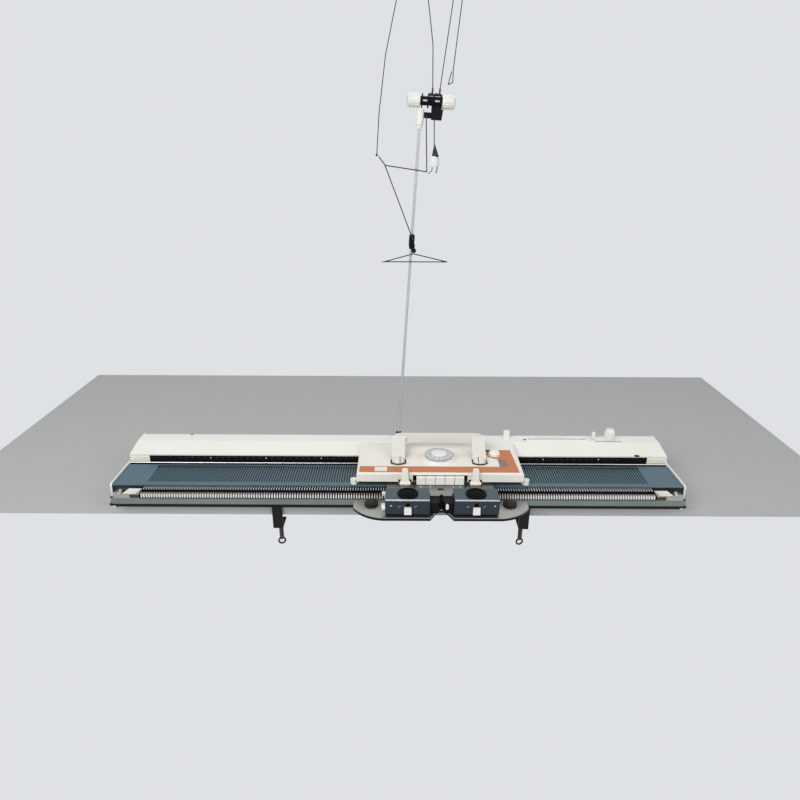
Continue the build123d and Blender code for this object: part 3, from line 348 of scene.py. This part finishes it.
def outermost(piece, facing):
    """Test for the faces that lie furthest out in a direction."""
    facing = Vector(facing)
    reach = max(face.center.dot(facing) for face in piece.data.polygons if face.normal.dot(facing) > 0.9)
    return lambda centre, normal: normal.dot(facing) > 0.9 and centre.dot(facing) > reach - 1e-5


def stepped(piece, facing, *moves):
    """Insets the outermost faces in turn; each move is an inset and a rise or drop."""
    pick(piece, outermost(piece, facing))
    for inset, depth in moves:
        bpy.ops.mesh.inset(thickness=inset / 1000, depth=depth / 1000)
    bpy.ops.object.mode_set(mode="OBJECT")


def repeated(piece, places):
    """Sets copies with their own mesh at all the places and joins them to one piece."""
    name = piece.name
    copies = []
    for place in places:
        twin = piece.copy()
        twin.data = piece.data.copy()
        twin.matrix_world = place
        bpy.context.scene.collection.objects.link(twin)
        copies.append(twin)
    bpy.data.objects.remove(piece)
    bpy.ops.object.select_all(action="DESELECT")
    for twin in copies:
        twin.select_set(True)
    bpy.context.view_layer.objects.active = copies[0]
    bpy.ops.object.transform_apply(location=True, rotation=True, scale=True)
    if len(copies) > 1:
        bpy.ops.object.join()
    copies[0].name = name
    return copies[0]


def finished(piece, material, body="bed"):
    """Cleans the normals, applies the place and gives the piece its finish and its body."""
    pick(piece)
    bpy.ops.mesh.normals_make_consistent(inside=False)
    bpy.ops.object.mode_set(mode="OBJECT")
    bpy.ops.object.transform_apply(location=True, rotation=True, scale=True)
    bpy.ops.object.shade_smooth_by_angle(angle=math.radians(40))
    piece.data.materials.clear()
    piece.data.materials.append(material)
    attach(piece, body)


latch = bar("needle_latches", (0, -86.2, 44.7), (0.6, 4.4, 0.4))
stepped(latch, back, (0.0, 0.8), (0.12, 0.5))
stepped(latch, up, (0.12, 0.12))
first_needle = -needle_pitch * (needle_count - 1) / 2
latch = repeated(latch, [moved(first_needle + needle_pitch * i, 0, 0) for i in range(needle_count)])
finished(latch, needle_steel)


# Retainer bar: a folded steel channel that slides in from the end across the
# needles, with a foam strip inside that presses on their shanks.
retainer_enamel = painted("retainer_enamel", bed_blue, 0.40, 0.09, gloss=0.38)
dress("needle_retainer", retainer_enamel)
foam = painted("retainer_foam", (0.30, 0.26, 0.12), 0.9, 0.2)
dress("retainer_sponge", foam)


# Rear rail: a ground steel bar along the back of the grooves, which the
# carriage's two shoes hook over.
rail_steel = plated("rail_steel", (0.70, 0.70, 0.68), 0.20, 0.12)
dress("rear_rail", rail_steel)


# Scale strip: a black moulded strip along the foot of the cover's slope, with
# a row of small grey dots in print and a larger pale one at every ninth place.
def moulded(name, colour, roughness, wear=0.03, gloss=0.45):
    """Injection moulding: even colour, a fine spark-eroded grain, slight yellowing."""
    material, tree, shader = blank(name)
    shader.inputs["Specular IOR Level"].default_value = gloss
    place = object_place(tree)
    clouds = noise(tree, place, 9.0, 3.0)
    aged = (colour[0] * (1 - wear), colour[1] * (1 - wear * 1.2), colour[2] * (1 - wear * 2.4))
    toned(tree, clouds, 0.3, aged, 0.72, colour)
    glossed(tree, clouds, roughness - 0.06, roughness + 0.06)
    embossed(tree, noise(tree, place, 1500.0, 2.0), 0.05, 0.0002)
    return material


black_moulding = moulded("black_moulding", (0.005, 0.005, 0.006), 0.50, gloss=0.12)
dress("scale_strip", black_moulding)


def disc(name, place, radius, height, sides=32, axis="Z"):
    """Starts a piece as a cylinder of a real size along one axis."""
    bpy.ops.object.select_all(action="DESELECT")
    turn = {"X": (0, math.radians(90), 0), "Y": (math.radians(90), 0, 0), "Z": (0, 0, 0)}[axis]
    bpy.ops.mesh.primitive_cylinder_add(
        vertices=sides, radius=radius / 1000, depth=height / 1000, location=mm(*place), rotation=turn
    )
    bpy.ops.object.transform_apply(location=True, rotation=True, scale=True)
    piece = bpy.context.object
    piece.name = name
    return piece


dot_white = moulded("dot_white", (0.70, 0.70, 0.66), 0.5)
dot_grey = moulded("dot_grey", (0.26, 0.26, 0.24), 0.5)
strip_face = 9.86
strip_middle = 53.2
dot_pitch = 11.72
dot_start = -40.7
dot_places = range(-32, 40)
large_step = 9
dot_rows = (("strip_dots", False, 0.55, dot_grey), ("strip_tens", True, 1.2, dot_white))
for name, large, radius, print_colour in dot_rows:
    dot = disc(name, (0, strip_face, strip_middle), radius, 0.3, 10, "Y")
    stepped(dot, front, (radius * 0.3, 0.06))
    spots = [i for i in dot_places if (i % large_step == 0) == large]
    dot = repeated(dot, [moved(dot_start + dot_pitch * i, 0, 0) for i in spots])
    finished(dot, print_colour)


# Rear cover: one long cream-white moulding, with the slope behind the strip
# and the flat deck that carries the card slot and the mast.
cover_cream = moulded("cover_cream", (0.83, 0.83, 0.78), 0.40)
dress("rear_cover", cover_cream)


def softened(piece, width, segments=2):
    """Rounds the sharp edges with a bevel that is applied at once."""
    bpy.ops.object.select_all(action="DESELECT")
    piece.select_set(True)
    bpy.context.view_layer.objects.active = piece
    edge = piece.modifiers.new("edge", "BEVEL")
    edge.width = width / 1000
    edge.segments = segments
    edge.limit_method = "ANGLE"
    edge.angle_limit = math.radians(35)
    bpy.ops.object.modifier_apply(modifier=edge.name)


deck_top = 68
eyelet = disc("deck_eyelets", (0, 0, deck_top + 0.1), 2.4, 0.8, 20)
stepped(eyelet, up, (0.25, 0.15), (0.5, -0.1), (0.15, -0.7))
eyelet_spots = ((-413, 82), (249.8, 65), (364.3, 63))
eyelet = repeated(eyelet, [moved(x, y, 0) for x, y in eyelet_spots])
finished(eyelet, black_moulding)
pane = bar("counter_window", (454, 11.9, 60.2), (8.4, 4.2, 1.8))
stepped(pane, up, (0.5, 0.1), (0.2, -0.3))
finished(pane, black_moulding)
# A thin grey plate at the front of the card knob stands for a label and for the knob's painted shadow on
# the deck.
label_and_shadow_grey = moulded("label_and_shadow_grey", (0.45, 0.45, 0.42), 0.4)
patch = bar("card_label_and_shadow", (413, 58.5, deck_top + 0.25), (52, 4.5, 0.5))
softened(patch, 0.2)
stepped(patch, up, (0.8, 0.0), (0.15, -0.12))
finished(patch, label_and_shadow_grey)


# End caps: cream mouldings screwed on both ends of the bed, with the ridged
# blocks that close the strip. Four slotted screws hold each one.
def slotted(piece, half, depth):
    """Cuts a driver slot across the top of a screw head that stands upright."""
    middle = sum((Vector(corner) for corner in piece.bound_box), Vector()) / 8
    for side in (-1, 1):
        pick(piece, outermost(piece, up))
        bpy.ops.mesh.bisect(plane_co=middle + Vector(mm(0, side * half, 0)), plane_no=back)
        bpy.ops.object.mode_set(mode="OBJECT")
    top = outermost(piece, up)
    pick(piece, lambda centre, normal: top(centre, normal) and abs(centre.y - middle.y) < half / 1000)
    bpy.ops.mesh.inset(thickness=0.00002, depth=-depth / 1000)
    bpy.ops.object.mode_set(mode="OBJECT")


def screw_head(name, level, radius, height, half_slot):
    """Domed and slotted screw head that stands upright on the Z axis."""
    head = disc(name, (0, 0, level), radius, height, 20)
    stepped(head, up, (0.4, 0.35), (0.5, 0.15))
    slotted(head, half_slot, 0.6)
    return head


cap_cream = moulded("cap_cream", (0.80, 0.79, 0.72), 0.42)
fastener_steel = plated("fastener_steel", (0.58, 0.58, 0.57), 0.24)
both_sides = ((-1, "left"), (1, "right"))
cap_face = 511
cap_screw_spots = ((-60, 30), (0, 30), (74, 22), (74, 52))
for side, name in both_sides:
    dress(f"end_cap_{name}", cap_cream)
    head = screw_head(f"cap_screws_{name}", 0.5, 3.4, 1.0, 0.45)
    places = [moved(side * cap_face, y, z) @ turned("Y", side * 90) for y, z in cap_screw_spots]
    finished(repeated(head, places), fastener_steel)


# Corner brackets: chromed angles screwed on the rail at each front corner. Each
# has a cream pad, a black slot, a recess in its front painted dark as shade, and
# two screws.
def shifted(piece, facing, *shift):
    """Moves the outermost faces sideways, so that the piece leans."""
    pick(piece, outermost(piece, facing))
    bpy.ops.transform.translate(value=mm(*shift))
    bpy.ops.object.mode_set(mode="OBJECT")


bracket_chrome = plated("bracket_chrome", (0.62, 0.61, 0.56), 0.24, 0.45, scale=90.0)
dress("corner_brackets", bracket_chrome)
bracket_shade = painted("bracket_shade", (0.045, 0.04, 0.03), 0.5, 0.3, gloss=0.2)
bracket_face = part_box("corner_brackets")[0][1] * 1000
bracket_top = 39.0
pad_x = 466
pad_lean = 5
slot_x = 483
recess_x = 462
for side, name in both_sides:
    pad = bar(f"comb_pad_{name}", (side * pad_x, -92.5, bracket_top + 0.7), (23, 17, 1.4))
    shifted(pad, front, side * pad_lean, 0, 0)
    softened(pad, 0.5)
    stepped(pad, up, (1.2, 0.0), (0.3, -0.2))
    finished(pad, cap_cream)
    slot = bar(f"comb_slot_{name}", (side * slot_x, -93, bracket_top + 0.2), (5, 12, 0.5))
    softened(slot, 0.15, 1)
    stepped(slot, up, (0.5, -0.15))
    finished(slot, black_moulding)
    recess = bar(f"comb_recess_{name}", (side * recess_x, bracket_face - 0.1, 34.5), (17, 0.6, 6.5))
    softened(recess, 0.15, 1)
    stepped(recess, front, (0.6, -0.1))
    finished(recess, bracket_shade)
    head = screw_head(f"bracket_screws_{name}", bracket_top + 0.5, 3.0, 1.6, 0.4)
    spots = ((side * 492, -88, 25), (side * 490, -97, -40))
    places = [moved(x, y, 0) @ turned("Z", turn) for x, y, turn in spots]
    finished(repeated(head, places), fastener_steel)


# Timing belt and pulleys: a toothed rubber loop behind the strip that the
# carriage drives, running on a nylon pulley at each end.
belt_rubber = moulded("belt_rubber", (0.012, 0.012, 0.012), 0.7)
dress("timing_belt", belt_rubber)
white_nylon = moulded("white_nylon", (0.80, 0.80, 0.76), 0.40)
dress("belt_pulley_left", white_nylon)
dress("belt_pulley_right", white_nylon)


# Card feed: the white knob on the deck turns an upright shaft, whose mitre
# wheel drives the grey drum that steps the punched card.
def turned_to(place, axis, degrees):
    """Matrix that turns about an axis through a point."""
    centre = moved(*place)
    return centre @ turned(axis, degrees) @ centre.inverted()


drum_grey = moulded("drum_grey", (0.30, 0.32, 0.33), 0.5)
dress("card_knob", white_nylon)
dress("card_drum", drum_grey)
dress("card_toggle", white_nylon)
low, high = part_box("card_knob")
knob_x = (low[0] + high[0]) * 500
knob_y = (low[1] + high[1]) * 500
knob_radius = 9.6
knob_top = 88.4
grip_middle = 77.5
knob_grips = 16
grip = bar("card_knob_grips", (knob_x + knob_radius, knob_y, grip_middle), (1.0, 1.5, 13))
softened(grip, 0.35, 1)
stepped(grip, right, (0.15, 0.1))
grip_turns = [turned_to((knob_x, knob_y, 0), "Z", 360 / knob_grips * i) for i in range(knob_grips)]
finished(repeated(grip, grip_turns), white_nylon, "card_knob_body")
cap = disc("card_knob_cap", (knob_x, knob_y, knob_top), 6.0, 0.6, 40)
stepped(cap, up, (0.5, 0.2), (1.6, -0.25), (0.4, 0.1))
finished(cap, white_nylon, "card_knob_body")


# Table clamps: zinc plated steel strips hooked in the pan's front wall, each
# with a threaded screw that presses its pad up under the table.
# The plates' zinc is painted near black as shade, since they hang in shadow under the table's edge.
clamp_zinc_painted_shade = plated("clamp_zinc_painted_shade", (0.030, 0.032, 0.024), 0.45, 0.18, "Z")
dress("clamp_brackets", clamp_zinc_painted_shade)
clamp_thread = plated("clamp_thread", (0.06, 0.062, 0.055), 0.40, 0.15)
thread_tree = clamp_thread.node_tree
thread = thread_tree.nodes.new("ShaderNodeTexWave")
thread.wave_type = "BANDS"
thread.bands_direction = "Z"
thread.inputs["Scale"].default_value = 250.0
thread_tree.links.new(object_place(thread_tree), thread.inputs["Vector"])
embossed(thread_tree, thread.outputs["Fac"], 0.7, 0.0006)
clamp_y = -62
pad_under = -15.9
for side in ("left", "right"):
    dress(f"clamp_screw_{side}", clamp_thread)
    low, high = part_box(f"clamp_screw_{side}")
    clamp_x = (low[0] + high[0]) * 500
    rubber = disc(f"clamp_cushion_{side}", (clamp_x, clamp_y, pad_under), 8.25, 1.3)
    stepped(rubber, up, (0.5, 0.2), (2.0, 0.0), (0.3, -0.15))
    finished(rubber, belt_rubber, f"clamp_screw_{side}_body")


# Yarn mast: a drawn and chromed steel rod that leans a little to the right.
# It stands in a black moulded socket, which two small screws hold to the deck.
rod_chrome = plated("rod_chrome", (0.60, 0.62, 0.64), 0.24, 0.05, "Z", metal=0.75)
dress("mast_rod", rod_chrome)
dress("mast_socket", black_moulding)
mast_y = 75.0
mast_lean = 3.4
mast = moved(0, mast_y, deck_top) @ turned("Y", mast_lean)
foot_top = 2.9
foot_reach = 9.2
foot = disc("mast_foot_screws", (0, 0, foot_top), 2.0, 0.8, 16)
stepped(foot, up, (0.3, 0.25), (0.3, 0.1))
slotted(foot, 0.3, 0.4)
foot = repeated(foot, [mast @ moved(x, 0, 0) for x in (-foot_reach, foot_reach)])
finished(foot, fastener_steel)


# Lower guide: spring wire bent to an open triangle, which the black sleeve
# with its ball clamps halfway up the rod. The yarn runs through it.
spring_wire = plated("spring_wire", (0.055, 0.065, 0.07), 0.40, 0.2, "Z")
dress("mast_joint", black_moulding)
dress("lower_guide", spring_wire)


# Guide arm and mast top: a wire arm with an eye at each end, held in the white
# moulded cap that is pushed on the rod's upper end over a collar.
def wire(name, route, radius):
    """Draws a round wire: the end face of a short disc is extruded from bend to bend."""
    points = [Vector(mm(*point)) for point in route]
    lie = (points[1] - points[0]).to_track_quat("Z", "Y").to_euler()
    bpy.ops.object.select_all(action="DESELECT")
    bpy.ops.mesh.primitive_cylinder_add(
        vertices=8, radius=radius / 1000, depth=0.0002, location=points[0], rotation=lie
    )
    bpy.ops.object.transform_apply(location=True, rotation=True, scale=True)
    piece = bpy.context.object
    piece.name = name
    heading = (points[1] - points[0]).normalized()
    pick(piece, lambda centre, normal: normal.dot(heading) > 0.9)
    for start, end in zip(points, points[1:]):
        bpy.ops.mesh.extrude_region_move(TRANSFORM_OT_translate={"value": tuple(end - start)})
    bpy.ops.object.mode_set(mode="OBJECT")
    return piece


dress("guide_arm", spring_wire)
low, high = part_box("guide_arm")
arm_y = (low[1] + high[1]) * 500
tip_route = ((44.6, arm_y, 644), (44.7, arm_y, 652), (46, mast_y, 653))
finished(wire("guide_arm_tip", tip_route, 0.85), spring_wire)
dress("mast_top", white_nylon)
ring_up = 573
band = disc("mast_top_ring", (0, 0, ring_up), 6.2, 2.4, 40)
softened(band, 0.4)
stepped(band, up, (0.15, 0.0))
finished(repeated(band, [mast]), white_nylon)


# Tension unit: a black moulded frame with two chromed pins across its front,
# between two ribbed white knobs that press the yarn discs together.
dress("tension_frame", black_moulding)
tension_x = 16.3
tension_z = 608.5
tension_grips = 22
grip_off = 28.5
grip_radius = 10.45
cap_off = 38.9
pin_spots = (6.3, 26.3)
for side, name in both_sides:
    dress(f"tension_knob_{name}", white_nylon)
    centre = (tension_x + side * grip_off, 0, tension_z)
    grip = bar(f"tension_grips_{name}", (centre[0], 0, tension_z + grip_radius), (17, 1.3, 0.9))
    softened(grip, 0.3, 1)
    stepped(grip, up, (0.1, 0.1))
    grip_turns = [mast @ turned_to(centre, "X", 360 / tension_grips * i) for i in range(tension_grips)]
    finished(repeated(grip, grip_turns), white_nylon, f"tension_knob_{name}_body")
    cap = disc(f"tension_cap_{name}", (tension_x + side * cap_off, 0, tension_z), 6.5, 0.7, 40, "X")
    stepped(cap, (side, 0, 0), (0.6, 0.25), (1.5, -0.2))
    finished(repeated(cap, [mast]), drum_grey, f"tension_knob_{name}_body")
pin = disc("tension_pins", (0, -7.6, tension_z), 1.6, 8.0, 20, "X")
softened(pin, 0.3)
stepped(pin, right, (0.3, 0.1))
pin = repeated(pin, [mast @ moved(x, 0, 0) for x in pin_spots])
finished(pin, rod_chrome)


# Yarn clip: a sprung clip that hangs on a wire under the tension unit and
# parks the yarn. Dark steel leaf, pale moulded jaw, coil spring and two hooks.
def tapered(piece, facing, scale, centre):
    """Scales the outermost faces about a point, so that the piece narrows or widens."""
    pick(piece, outermost(piece, facing))
    bpy.ops.transform.resize(value=scale, center_override=mm(*centre))
    bpy.ops.object.mode_set(mode="OBJECT")


clip_wire = 0.8
clip_route = ((58, mast_y, 651), (58.4, mast_y, 630), (59, mast_y, 608))
finished(wire("yarn_clip_wire", clip_route, clip_wire), spring_wire)
leaf = bar("yarn_clip_leaf", (61.2, mast_y, 599), (12.4, 1.2, 20))
tapered(leaf, up, (0.12, 1, 1), (59.2, mast_y, 609))
softened(leaf, 0.2, 1)
finished(leaf, spring_wire)
jaw = bar("yarn_clip_jaw", (58.2, mast_y, 581.5), (8.4, 6.0, 17))
tapered(jaw, down, (1.25, 0.8, 1), (58.2, mast_y, 573))
softened(jaw, 0.8)
stepped(jaw, front, (1.6, -0.5))
finished(jaw, white_nylon)
coil = disc("yarn_clip_spring", (64.6, mast_y, 575), 3.3, 1.3, 20)
softened(coil, 0.5)
stepped(coil, up, (0.2, 0.0))
coil_turns = 7
coil_pitch = 2.1
coil = repeated(coil, [moved(0, 0, coil_pitch * i) for i in range(coil_turns)])
finished(coil, fastener_steel)
left_hook = ((56.5, mast_y, 574), (55.6, mast_y, 567.5), (50, mast_y, 562.5))
right_hook = ((64.6, mast_y, 575), (64.2, mast_y, 568), (62.4, mast_y, 563.5))
finished(wire("yarn_clip_hook_left", left_hook, clip_wire), spring_wire)
finished(wire("yarn_clip_hook_right", right_hook, clip_wire), spring_wire)


# Take-up wires: two long spring wires that rock on the unit's cross pin and
# keep the yarn tight. The photograph's edge cuts their upper ends off.
dress("takeup_wire_left", spring_wire)
dress("takeup_wire_right", spring_wire)


# Carriage shell: one cream moulding over the cam plate, with the slope at its
# front, the round seat of the dial and the two openings of the handle.
carriage_cream = moulded("carriage_cream", (0.83, 0.81, 0.755), 0.38)
dress("carriage_shell", carriage_cream)
carriage_mid = 74.8


# Cam plate and glides: a zinc plated steel plate with its cams and two rear
# shoes, and a white nylon glide at each front corner that runs on the rail.
plate_zinc = plated("plate_zinc", (0.42, 0.42, 0.41), 0.32, 0.12)
dress("cam_plate", plate_zinc)
dress("carriage_glides", white_nylon)


# Label strip: an orange plastic strip glued along the front of the shell and
# up its right side, with a bare plate, a grey-brown field and a thin black plate
# at the change knob's back left that stands for its painted shadow.
label_orange = moulded("label_orange", (0.56, 0.20, 0.09), 0.55, 0.06, gloss=0.25)
dress("label_strip", label_orange)
label_grey = moulded("label_grey", (0.20, 0.175, 0.14), 0.5)
label_top = 73.7
plate_off = -105
panel_off = 115
knob_shadow_off = 94.5
name_plate = bar("band_plate", (carriage_mid + plate_off, -70.2, label_top), (22, 15, 0.45))
softened(name_plate, 0.18)
stepped(name_plate, up, (0.7, 0.0), (0.15, -0.1))
finished(name_plate, carriage_cream, "carriage")
panel = bar("label_panel", (carriage_mid + panel_off, -46, label_top), (14, 27, 0.45))
shifted(panel, front, 1.5, 0, 0)
softened(panel, 0.15)
stepped(panel, up, (0.6, 0.0), (0.15, -0.1))
finished(panel, label_grey, "carriage")
# A thin black plate at the change knob's back left: painted shadow.
knob_shadow = bar("change_knob_shadow", (carriage_mid + knob_shadow_off, 4.5, label_top + 0.2), (9, 5, 0.8))
softened(knob_shadow, 0.25)
stepped(knob_shadow, up, (0.5, 0.0), (0.3, -0.2))
finished(knob_shadow, black_moulding, "carriage")


# Stitch dial: a blue-grey moulded dial with a dark rim and a white crown,
# numbered from 0 to 10 in print round its edge.
dial_grey = moulded("dial_grey", (0.56, 0.58, 0.61), 0.36)
dress("stitch_dial", dial_grey)
dial_y = -28.0
rim_z = 81.9
print_z = 82.9
crown_z = 84.35
rim = disc("dial_rim", (carriage_mid, dial_y, rim_z), 25.55, 1.1, 64)
softened(rim, 0.3)
stepped(rim, up, (1.0, 0.0), (0.3, -0.5))
finished(rim, drum_grey, "stitch_dial_body")
crown = disc("dial_crown", (carriage_mid, dial_y, crown_z), 13.5, 0.6, 48)
stepped(crown, up, (0.6, 0.2), (4.0, -0.15), (0.5, 0.15))
finished(crown, white_nylon, "stitch_dial_body")
digit_count = 11
digit_radius = 21.2
figures = []
for digit in range(digit_count):
    bpy.ops.object.select_all(action="DESELECT")
    bpy.ops.object.text_add()
    figure = bpy.context.object
    figure.data.body = str(digit)
    figure.data.align_x = "CENTER"
    figure.data.align_y = "CENTER"
    figure.data.size = 0.0042
    figure.data.extrude = 0.00008
    figure.data.resolution_u = 3
    bpy.ops.object.convert(target="MESH")
    dial_turn = moved(carriage_mid, dial_y, print_z) @ turned("Z", -90 - 360 / digit_count * digit)
    figure.matrix_world = dial_turn @ (moved(digit_radius, 0, 0) @ turned("Z", -90))
    bpy.ops.object.transform_apply(location=True, rotation=True, scale=True)
    figures.append(figure)
for figure in figures:
    figure.select_set(True)
bpy.ops.object.join()
dial_numbers = bpy.context.object
dial_numbers.name = "dial_numbers"
finished(dial_numbers, drum_grey, "stitch_dial_body")


# Handle: a folding carrying handle in one white moulding, whose ball hubs turn
# in round openings, each with a thin black arc round its front, and carry a
# black index line.
def swept(name, place, size, centre, axis, start, sweep, steps=12):
    """Spins a small rectangle about an axis through a point, from one angle through another."""
    bpy.ops.object.select_all(action="DESELECT")
    facing = (0, math.radians(90), 0) if axis == "Z" else (0, 0, 0)
    bpy.ops.mesh.primitive_plane_add(size=1, location=mm(*place), rotation=facing)
    piece = bpy.context.object
    piece.name = name
    piece.scale = mm(*size, 1)
    bpy.ops.object.transform_apply(location=True, rotation=True, scale=True)
    piece.matrix_world = turned_to(centre, axis, start)
    bpy.ops.object.transform_apply(location=True, rotation=True, scale=True)
    pick(piece)
    around = {"X": (1, 0, 0), "Y": (0, 1, 0), "Z": (0, 0, 1)}[axis]
    bpy.ops.mesh.spin(steps=steps, angle=math.radians(-sweep), center=mm(*centre), axis=around)
    bpy.ops.object.mode_set(mode="OBJECT")
    return piece


handle_cream = moulded("handle_cream", (0.72, 0.71, 0.66), 0.36)
dress("handle", handle_cream)
hub_y = -36.0
hub_z = 68.0
hub_off = 74
line_off = 71
crescent_z = 74.0
crescent_radius = 16.8
line_radius = 13.3
for side, name in both_sides:
    hub_x = carriage_mid + side * hub_off
    line_x = carriage_mid + side * line_off
    crescent_start = (hub_x, hub_y - crescent_radius, crescent_z)
    crescent = swept(f"handle_crescent_{name}", crescent_start, (2.6, 0.9), (hub_x, hub_y, 0), "Z", -58, 116, 18)
    finished(crescent, black_moulding, "carriage")
    line_start = (line_x, hub_y - line_radius, hub_z)
    line = swept(f"handle_line_{name}", line_start, (1.1, 0.7), (line_x, hub_y, hub_z), "X", -26, -56)
    finished(line, black_moulding, "handle_body")


# Keys, levers and change knob: white mouldings that set the cams below, five
# keys side by side at the front, a lever each side and the knob at the right.
key_white = moulded("key_white", (0.90, 0.88, 0.84), 0.36)
# The levers' cream is painted brighter than the other nylon, as painted light on their shaded faces.
lever_cream_lit = moulded("lever_cream_lit", (0.98, 0.94, 0.86), 0.40)
for number in range(1, 6):
    dress(f"key_{number}", key_white)
dress("lever_left", lever_cream_lit)
dress("lever_right", lever_cream_lit)
dress("change_knob", white_nylon)


# Arm bracket: a grey plated steel plate screwed under the carriage's front,
# with its riveted studs and a small black catch in the middle.
bracket_grey = plated("bracket_grey", (0.27, 0.275, 0.26), 0.42, 0.12)
dress("arm_bracket", bracket_grey)
bracket_level = 52.2
stud_spots = (-34, -17, 23, 35)
stud = disc("bracket_studs", (0, -95, bracket_level + 0.1), 1.8, 0.8, 16)
stepped(stud, up, (0.4, 0.3), (0.5, 0.15))
stud = repeated(stud, [moved(carriage_mid + x, 0, 0) for x in stud_spots])
finished(stud, rod_chrome, "carriage")
catch = bar("bracket_catch", (carriage_mid, -103, bracket_level), (10, 5, 0.6))
softened(catch, 0.2)
stepped(catch, up, (0.6, 0.0), (0.3, -0.2))
finished(catch, black_moulding, "carriage")


# Sinker plate: a curved steel plate in front of the posts, pressed with a
# turned-down rim. Below the rim's top its colour turns near black.
rim_top = 0.0285
sinker_steel = plated("sinker_steel", (0.40, 0.405, 0.38), 0.36, 0.14)
zoned(sinker_steel, "Z", rim_top, (0.02, 0.02, 0.02))
dress("sinker_plate", sinker_steel)


# Arm covers: two folded sheet covers in blue-grey enamel, with painted shade
# down their front faces, a chrome strip on the top front edge that stands for
# the highlight on the rounded bend, and pale printed marks.
cover_off = 58.15
cover_front = -0.15295
arm_enamel = painted("arm_enamel", (0.044, 0.078, 0.092), 0.42, 0.07, gloss=0.35)
zoned(arm_enamel, "Y", cover_front, (0.018, 0.028, 0.043))
mark_white = moulded("mark_white", (0.50, 0.53, 0.55), 0.5)
for side, name in both_sides:
    dress(f"arm_cover_{name}", arm_enamel)
    # The chrome strip along each cover's top front edge is a painted highlight.
    highlight_place = (carriage_mid + side * cover_off, -154.66, 60.66)
    highlight_strip = bar(f"arm_highlight_strip_{name}", highlight_place, (73.5, 2.6, 0.6), tilt=45)
    softened(highlight_strip, 0.15, 1)
    stepped(highlight_strip, (side, 0, 0), (0.1, 0.05))
    finished(highlight_strip, rod_chrome, "carriage")
for name, x in (("left", -85.6), ("right", 88.0)):
    wedge = disc(f"arm_wedge_{name}", (carriage_mid + x, -155.42, 50.5), 2.2, 0.5, 3, "Y")
    stepped(wedge, front, (0.3, 0.08))
    finished(wedge, mark_white, "carriage")
arc_spots = (-70.3, -43.1, 44.1, 71.8)
arc_radius = 3
print_y = -155.75
arc_z = 47
for number, x in enumerate(arc_spots, 1):
    arc_mid = (carriage_mid + x, print_y, arc_z)
    arc_start = (arc_mid[0] - arc_radius, print_y, arc_z)
    arc = swept(f"arm_arc_{number}", arc_start, (0.6, 0.4), arc_mid, "Y", 0, 110, 8)
    finished(arc, mark_white, "carriage")


# Thumb screws: black moulded heads as wide as the covers are deep, with a
# raised ring, that hold the two covers down on the bracket.
screw_black = moulded("screw_black", (0.0015, 0.0018, 0.0020), 0.45, gloss=0.04)
screw_off = 57.5
screw_top = 64.45
for side, name in both_sides:
    dress(f"thumb_screw_{name}", screw_black)
    insert = disc(f"thumb_insert_{name}", (carriage_mid + side * screw_off, -137, screw_top), 10.5, 0.9, 48)
    stepped(insert, up, (0.8, 0.25), (3.2, -0.3), (0.8, 0.0), (0.6, 0.3))
    finished(insert, screw_black, f"thumb_screw_{name}_body")


# Arm slides and pegs: white nylon buttons that slide in the covers' front
# slots, and the round pegs at the left end that guide the yarn.
dress("arm_slide_left", white_nylon)
dress("arm_slide_right", white_nylon)
dress("arm_pegs", white_nylon)


# Yarn feeder: a black moulding in the gap between the covers, with the feeding
# eye at its tip and a white gate that swings across it.
dress("yarn_feeder", black_moulding)
dress("feeder_gate", white_nylon)


# Brushes: round brushes that turn under the sinker plate's ends and press the
# stitches back. Black hub with three rows of stiff bristles.
bristle_black = moulded("bristle_black", (0.022, 0.020, 0.018), 0.7)
brush_off = 120
brush_y = -117
tuft_middle = 8.6
bristle_rows = 3
row_pitch = 1.3
row_twist = 4
bristles_a_row = 30
for side, name in both_sides:
    dress(f"brush_{name}", bristle_black)
    brush_x = carriage_mid + side * brush_off
    tuft = disc(f"bristles_{name}", (brush_x + tuft_middle, brush_y, 32.9), 0.28, 7.0, 6, "X")
    stepped(tuft, right, (0.05, 0.2))
    places = []
    for row in range(bristle_rows):
        rise = moved(0, 0, (row - 1) * row_pitch)
        for i in range(bristles_a_row):
            degrees = 360 / bristles_a_row * i + row_twist * row
            places.append(rise @ turned_to((brush_x, brush_y, 0), "Z", degrees))
    finished(repeated(tuft, places), bristle_black, f"brush_{name}_body")
    cap = disc(f"brush_cap_{name}", (brush_x, brush_y, 35.6), 5.6, 0.7)
    stepped(cap, up, (0.5, 0.2), (1.6, -0.2))
    finished(cap, bristle_black, f"brush_{name}_body")
